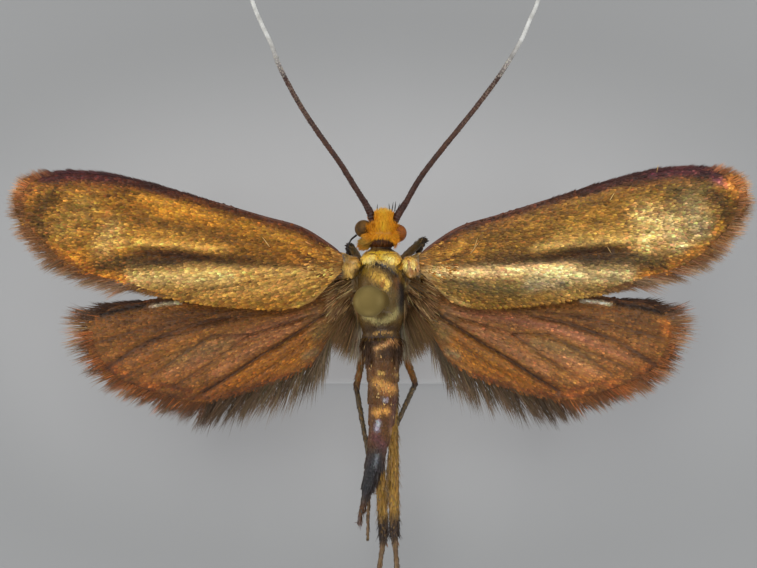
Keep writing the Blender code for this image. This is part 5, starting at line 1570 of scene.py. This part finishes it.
def fringe(shape, side, name):
    """Hair scales along the outline, drawn together into soft bunches towards their tips."""
    fore, left = shape.kind == "forewing", side == "left"
    marks, lengths, densities, bunching, *swatches = zip(*FRINGES[shape.kind])
    fine = np.linspace(marks[0], marks[-1], 400)
    sums = np.append(0, np.cumsum(np.interp(fine, marks, densities)[1:] * np.diff(fine) * shape.perimeter))
    count = int(sums[-1])
    shares = np.interp(np.sort(draw.uniform(0, sums[-1], count)), sums, fine)
    full = np.interp(shares, marks, lengths)
    short = draw.random(count) < SHORT_SHARE * (full < 0.7)
    bunches = np.round(shares * shape.perimeter / BUNCH + draw.normal(0, 0.4, count)).astype(int)
    bunches = np.clip(bunches, 0, None)
    point, ahead = shape.at(shape.edge, shares), unit(shape.at(shape.tangent, shares))
    along = ((shares < 0.42) * 1.2)[:, None]
    fan = HAIR_FAN + (3.0 * np.clip((shares - 0.58) / 0.06, 0, 1) if fore else 0)
    from_source = unit(point - shape.facts["source"])
    ways = unit(left_of(ahead) + from_source * np.reshape(fan, (-1, 1)) + ahead * along)
    noise = np.random.default_rng(5 if left else 6).normal(0, 1, (bunches.max() + 2, 3))[bunches]
    length = full if fore or not left else full * 1.1
    length = length * np.clip(draw.normal(0.80, 0.17, count) + noise[:, 0] * 0.08, 0.25, 1.15)
    length = length * np.where(short, SHORT_LENGTH, 1.0)
    together = np.where(short, 0.1, np.interp(shares, marks, bunching))[:, None]
    gathered = shape.at(shape.edge, np.clip(bunches * BUNCH / shape.perimeter, 0, 1))
    swing = left_of(ways) * (noise[:, 1] * 0.08 * full)[:, None]
    ways = unit(point * (1 - together) + gathered * together + ways * full[:, None] + swing - point)
    ways = ways + draw.normal(0, 0.085, ways.shape)
    base = point - unit(point) * HAIR_ROOT
    level = draw.uniform(-1, 1, count) * (MEMBRANE_EDGE + 0.02) + np.where(short, 0.03, 0.0)
    roots = shape.placed(base, shape.middle(base) + level, side)
    rises = WING_RISE * 0.5 + noise[:, 2] * 0.05 + draw.normal(0, 0.06, count) - level * 0.4
    long_paint, short_paint = (blended(shares, *zip(marks, row)) for row in swatches)
    paints = np.where(short[:, None], short_paint, long_paint)
    paints = paints * ((0.88 if left and fore else 1.0) * np.exp(noise[:, 2:] * 0.22))
    flecked = (draw.random(count) < FLECK_SHARE) & (not fore)
    flecked &= (shares > FLECKED[0]) & (shares < FLECKED[1])
    paints[flecked] = swatch(*FLECK)
    hair = vanes(name, roots, shape.aimed(ways, rises, side), (0.0, 0.02, 1.0), length + HAIR_ROOT,
                 draw.uniform(0.009, 0.017, count), fringe_finish, shape.unwrap(base), paints,
                 profile=((0.0, 1.0), (0.6, 0.8)), depth=0.3, bend=draw.normal(0, 0.08, count),
                 variety=0.22, smooth=True)


# The hardened front edge of a wing: kind, share of the outline where it ends, radius in mm
FRONT_VEINS = {"forewing": (0.40, 0.050), "hindwing": (0.385, 0.035)}
VEIN_STEPS = 160
vein_finishes = {
    "forewing": mottled_finish("forewing_front_vein", 5000.0, (62, 34, 22), (104, 58, 32), Roughness=0.42),
    "hindwing": mottled_finish("hindwing_front_vein", 5000.0, (34, 24, 18), (66, 44, 28), Roughness=0.42),
}


def front_vein(shape, side, name):
    """The smooth dark rod along a wing's front edge."""
    end, thick = FRONT_VEINS[shape.kind]
    shares = np.linspace(0.0, end, VEIN_STEPS)
    line = shape.at(shape.edge, shares) - unit(left_of(shape.at(shape.tangent, shares))) * 0.02
    path = shape.placed(line, shape.middle(line), side)
    radii = thick * np.interp(np.linspace(0, 1, VEIN_STEPS), (0, 0.05, 0.7, 1), (0.6, 1, 0.8, 0.2))
    rod = add_mesh(name, *tube(path, radii, 10), vein_finishes[shape.kind])
    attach(rod, "root")


# Long shaggy scales at the root of a forewing, in gold and dark brown
ROOT_SCALES = 380
ROOT_SWATCHES = ((204, 148, 72), (180, 122, 50), (160, 106, 42), (140, 92, 38), (108, 72, 34))


def root_scales(shape, side, name):
    """Shaggy scales over the first tenth of a forewing."""
    along = draw.beta(1.3, 2.0, ROOT_SCALES) * 0.12 - 0.034
    flat = np.column_stack((along, draw.uniform(-0.05, 0.06, ROOT_SCALES))) * shape.length
    out = shape.fan(flat + (0.04 * shape.length, 0))[1]
    flat = flat[(out < 0.96) & (np.abs(flat[:, 1]) < 0.16 + (flat[:, 0] + 0.28) * 0.75)]
    count = len(flat)
    ways = unit(np.column_stack((np.ones(count), flat[:, 1] * 0.5 + draw.normal(0, 0.25, count))))
    roots = shape.placed(flat, shape.surface(flat, 1), side)
    ups = shape.aimed(draw.normal(0, 0.3, (count, 2)), np.ones(count), side)
    size = draw.uniform(0.7, 1.3, count)
    ways = shape.aimed(ways, draw.uniform(0.05, 0.22, count), side)
    swatches = np.array([swatch(*colour) for colour in ROOT_SWATCHES])
    paints = swatches[draw.integers(0, len(ROOT_SWATCHES), count)]
    made = vanes(name, roots, ways, ups, 0.15 * size, 0.046 * size, wing_scales["forewing"],
                 np.clip(flat / shape.length + 0.1, 0.01, 0.99), paints, depth=0.12, variety=0.2)


# Loose pale hairs that lie on the forewings: side, root and tip as shares of the wing's length
LOOSE_HAIRS = (
    ("right", (0.140, 0.035), (0.155, 0.080)), ("right", (0.130, 0.025), (0.160, 0.065)),
    ("right", (0.575, 0.195), (0.590, 0.220)), ("right", (0.568, 0.045), (0.580, 0.025)),
    ("right", (0.725, 0.285), (0.730, 0.310)), ("left", (0.200, 0.050), (0.225, 0.085)),
)


def loose_hairs(shape, side, name):
    """The few stray hairs of one forewing."""
    picked = [hair[1:] for hair in LOOSE_HAIRS if hair[0] == side]
    starts, ends = (np.array(column) * shape.length for column in zip(*picked))
    roots = shape.placed(starts, shape.surface(starts, 1) + 0.02, side)
    ways = shape.aimed(ends - starts, np.full(len(starts), 0.02), side)
    made = vanes(name, roots, ways, UPWARDS, np.linalg.norm(ends - starts, axis=1), 0.022, fringe_finish,
                 (0.5, 0.5), swatch(226, 184, 112), profile=HAIR_PROFILE, depth=0.4, smooth=True)


for kind in WINGS:
    shape = WingShape(kind)
    for side in ("left", "right"):
        wing = membrane(shape, side)
        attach(wing, "root")
        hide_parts(f"{kind}_{side}")
        scale_coat(shape, side, 1, f"{kind}_top_scales_{side}")
        scale_coat(shape, side, -1, f"{kind}_under_scales_{side}")
        fringe(shape, side, f"{kind}_fringe_{side}")
        front_vein(shape, side, f"{kind}_front_vein_{side}")
        if kind == "forewing":
            root_scales(shape, side, f"forewing_root_scales_{side}")
            loose_hairs(shape, side, f"forewing_loose_hairs_{side}")
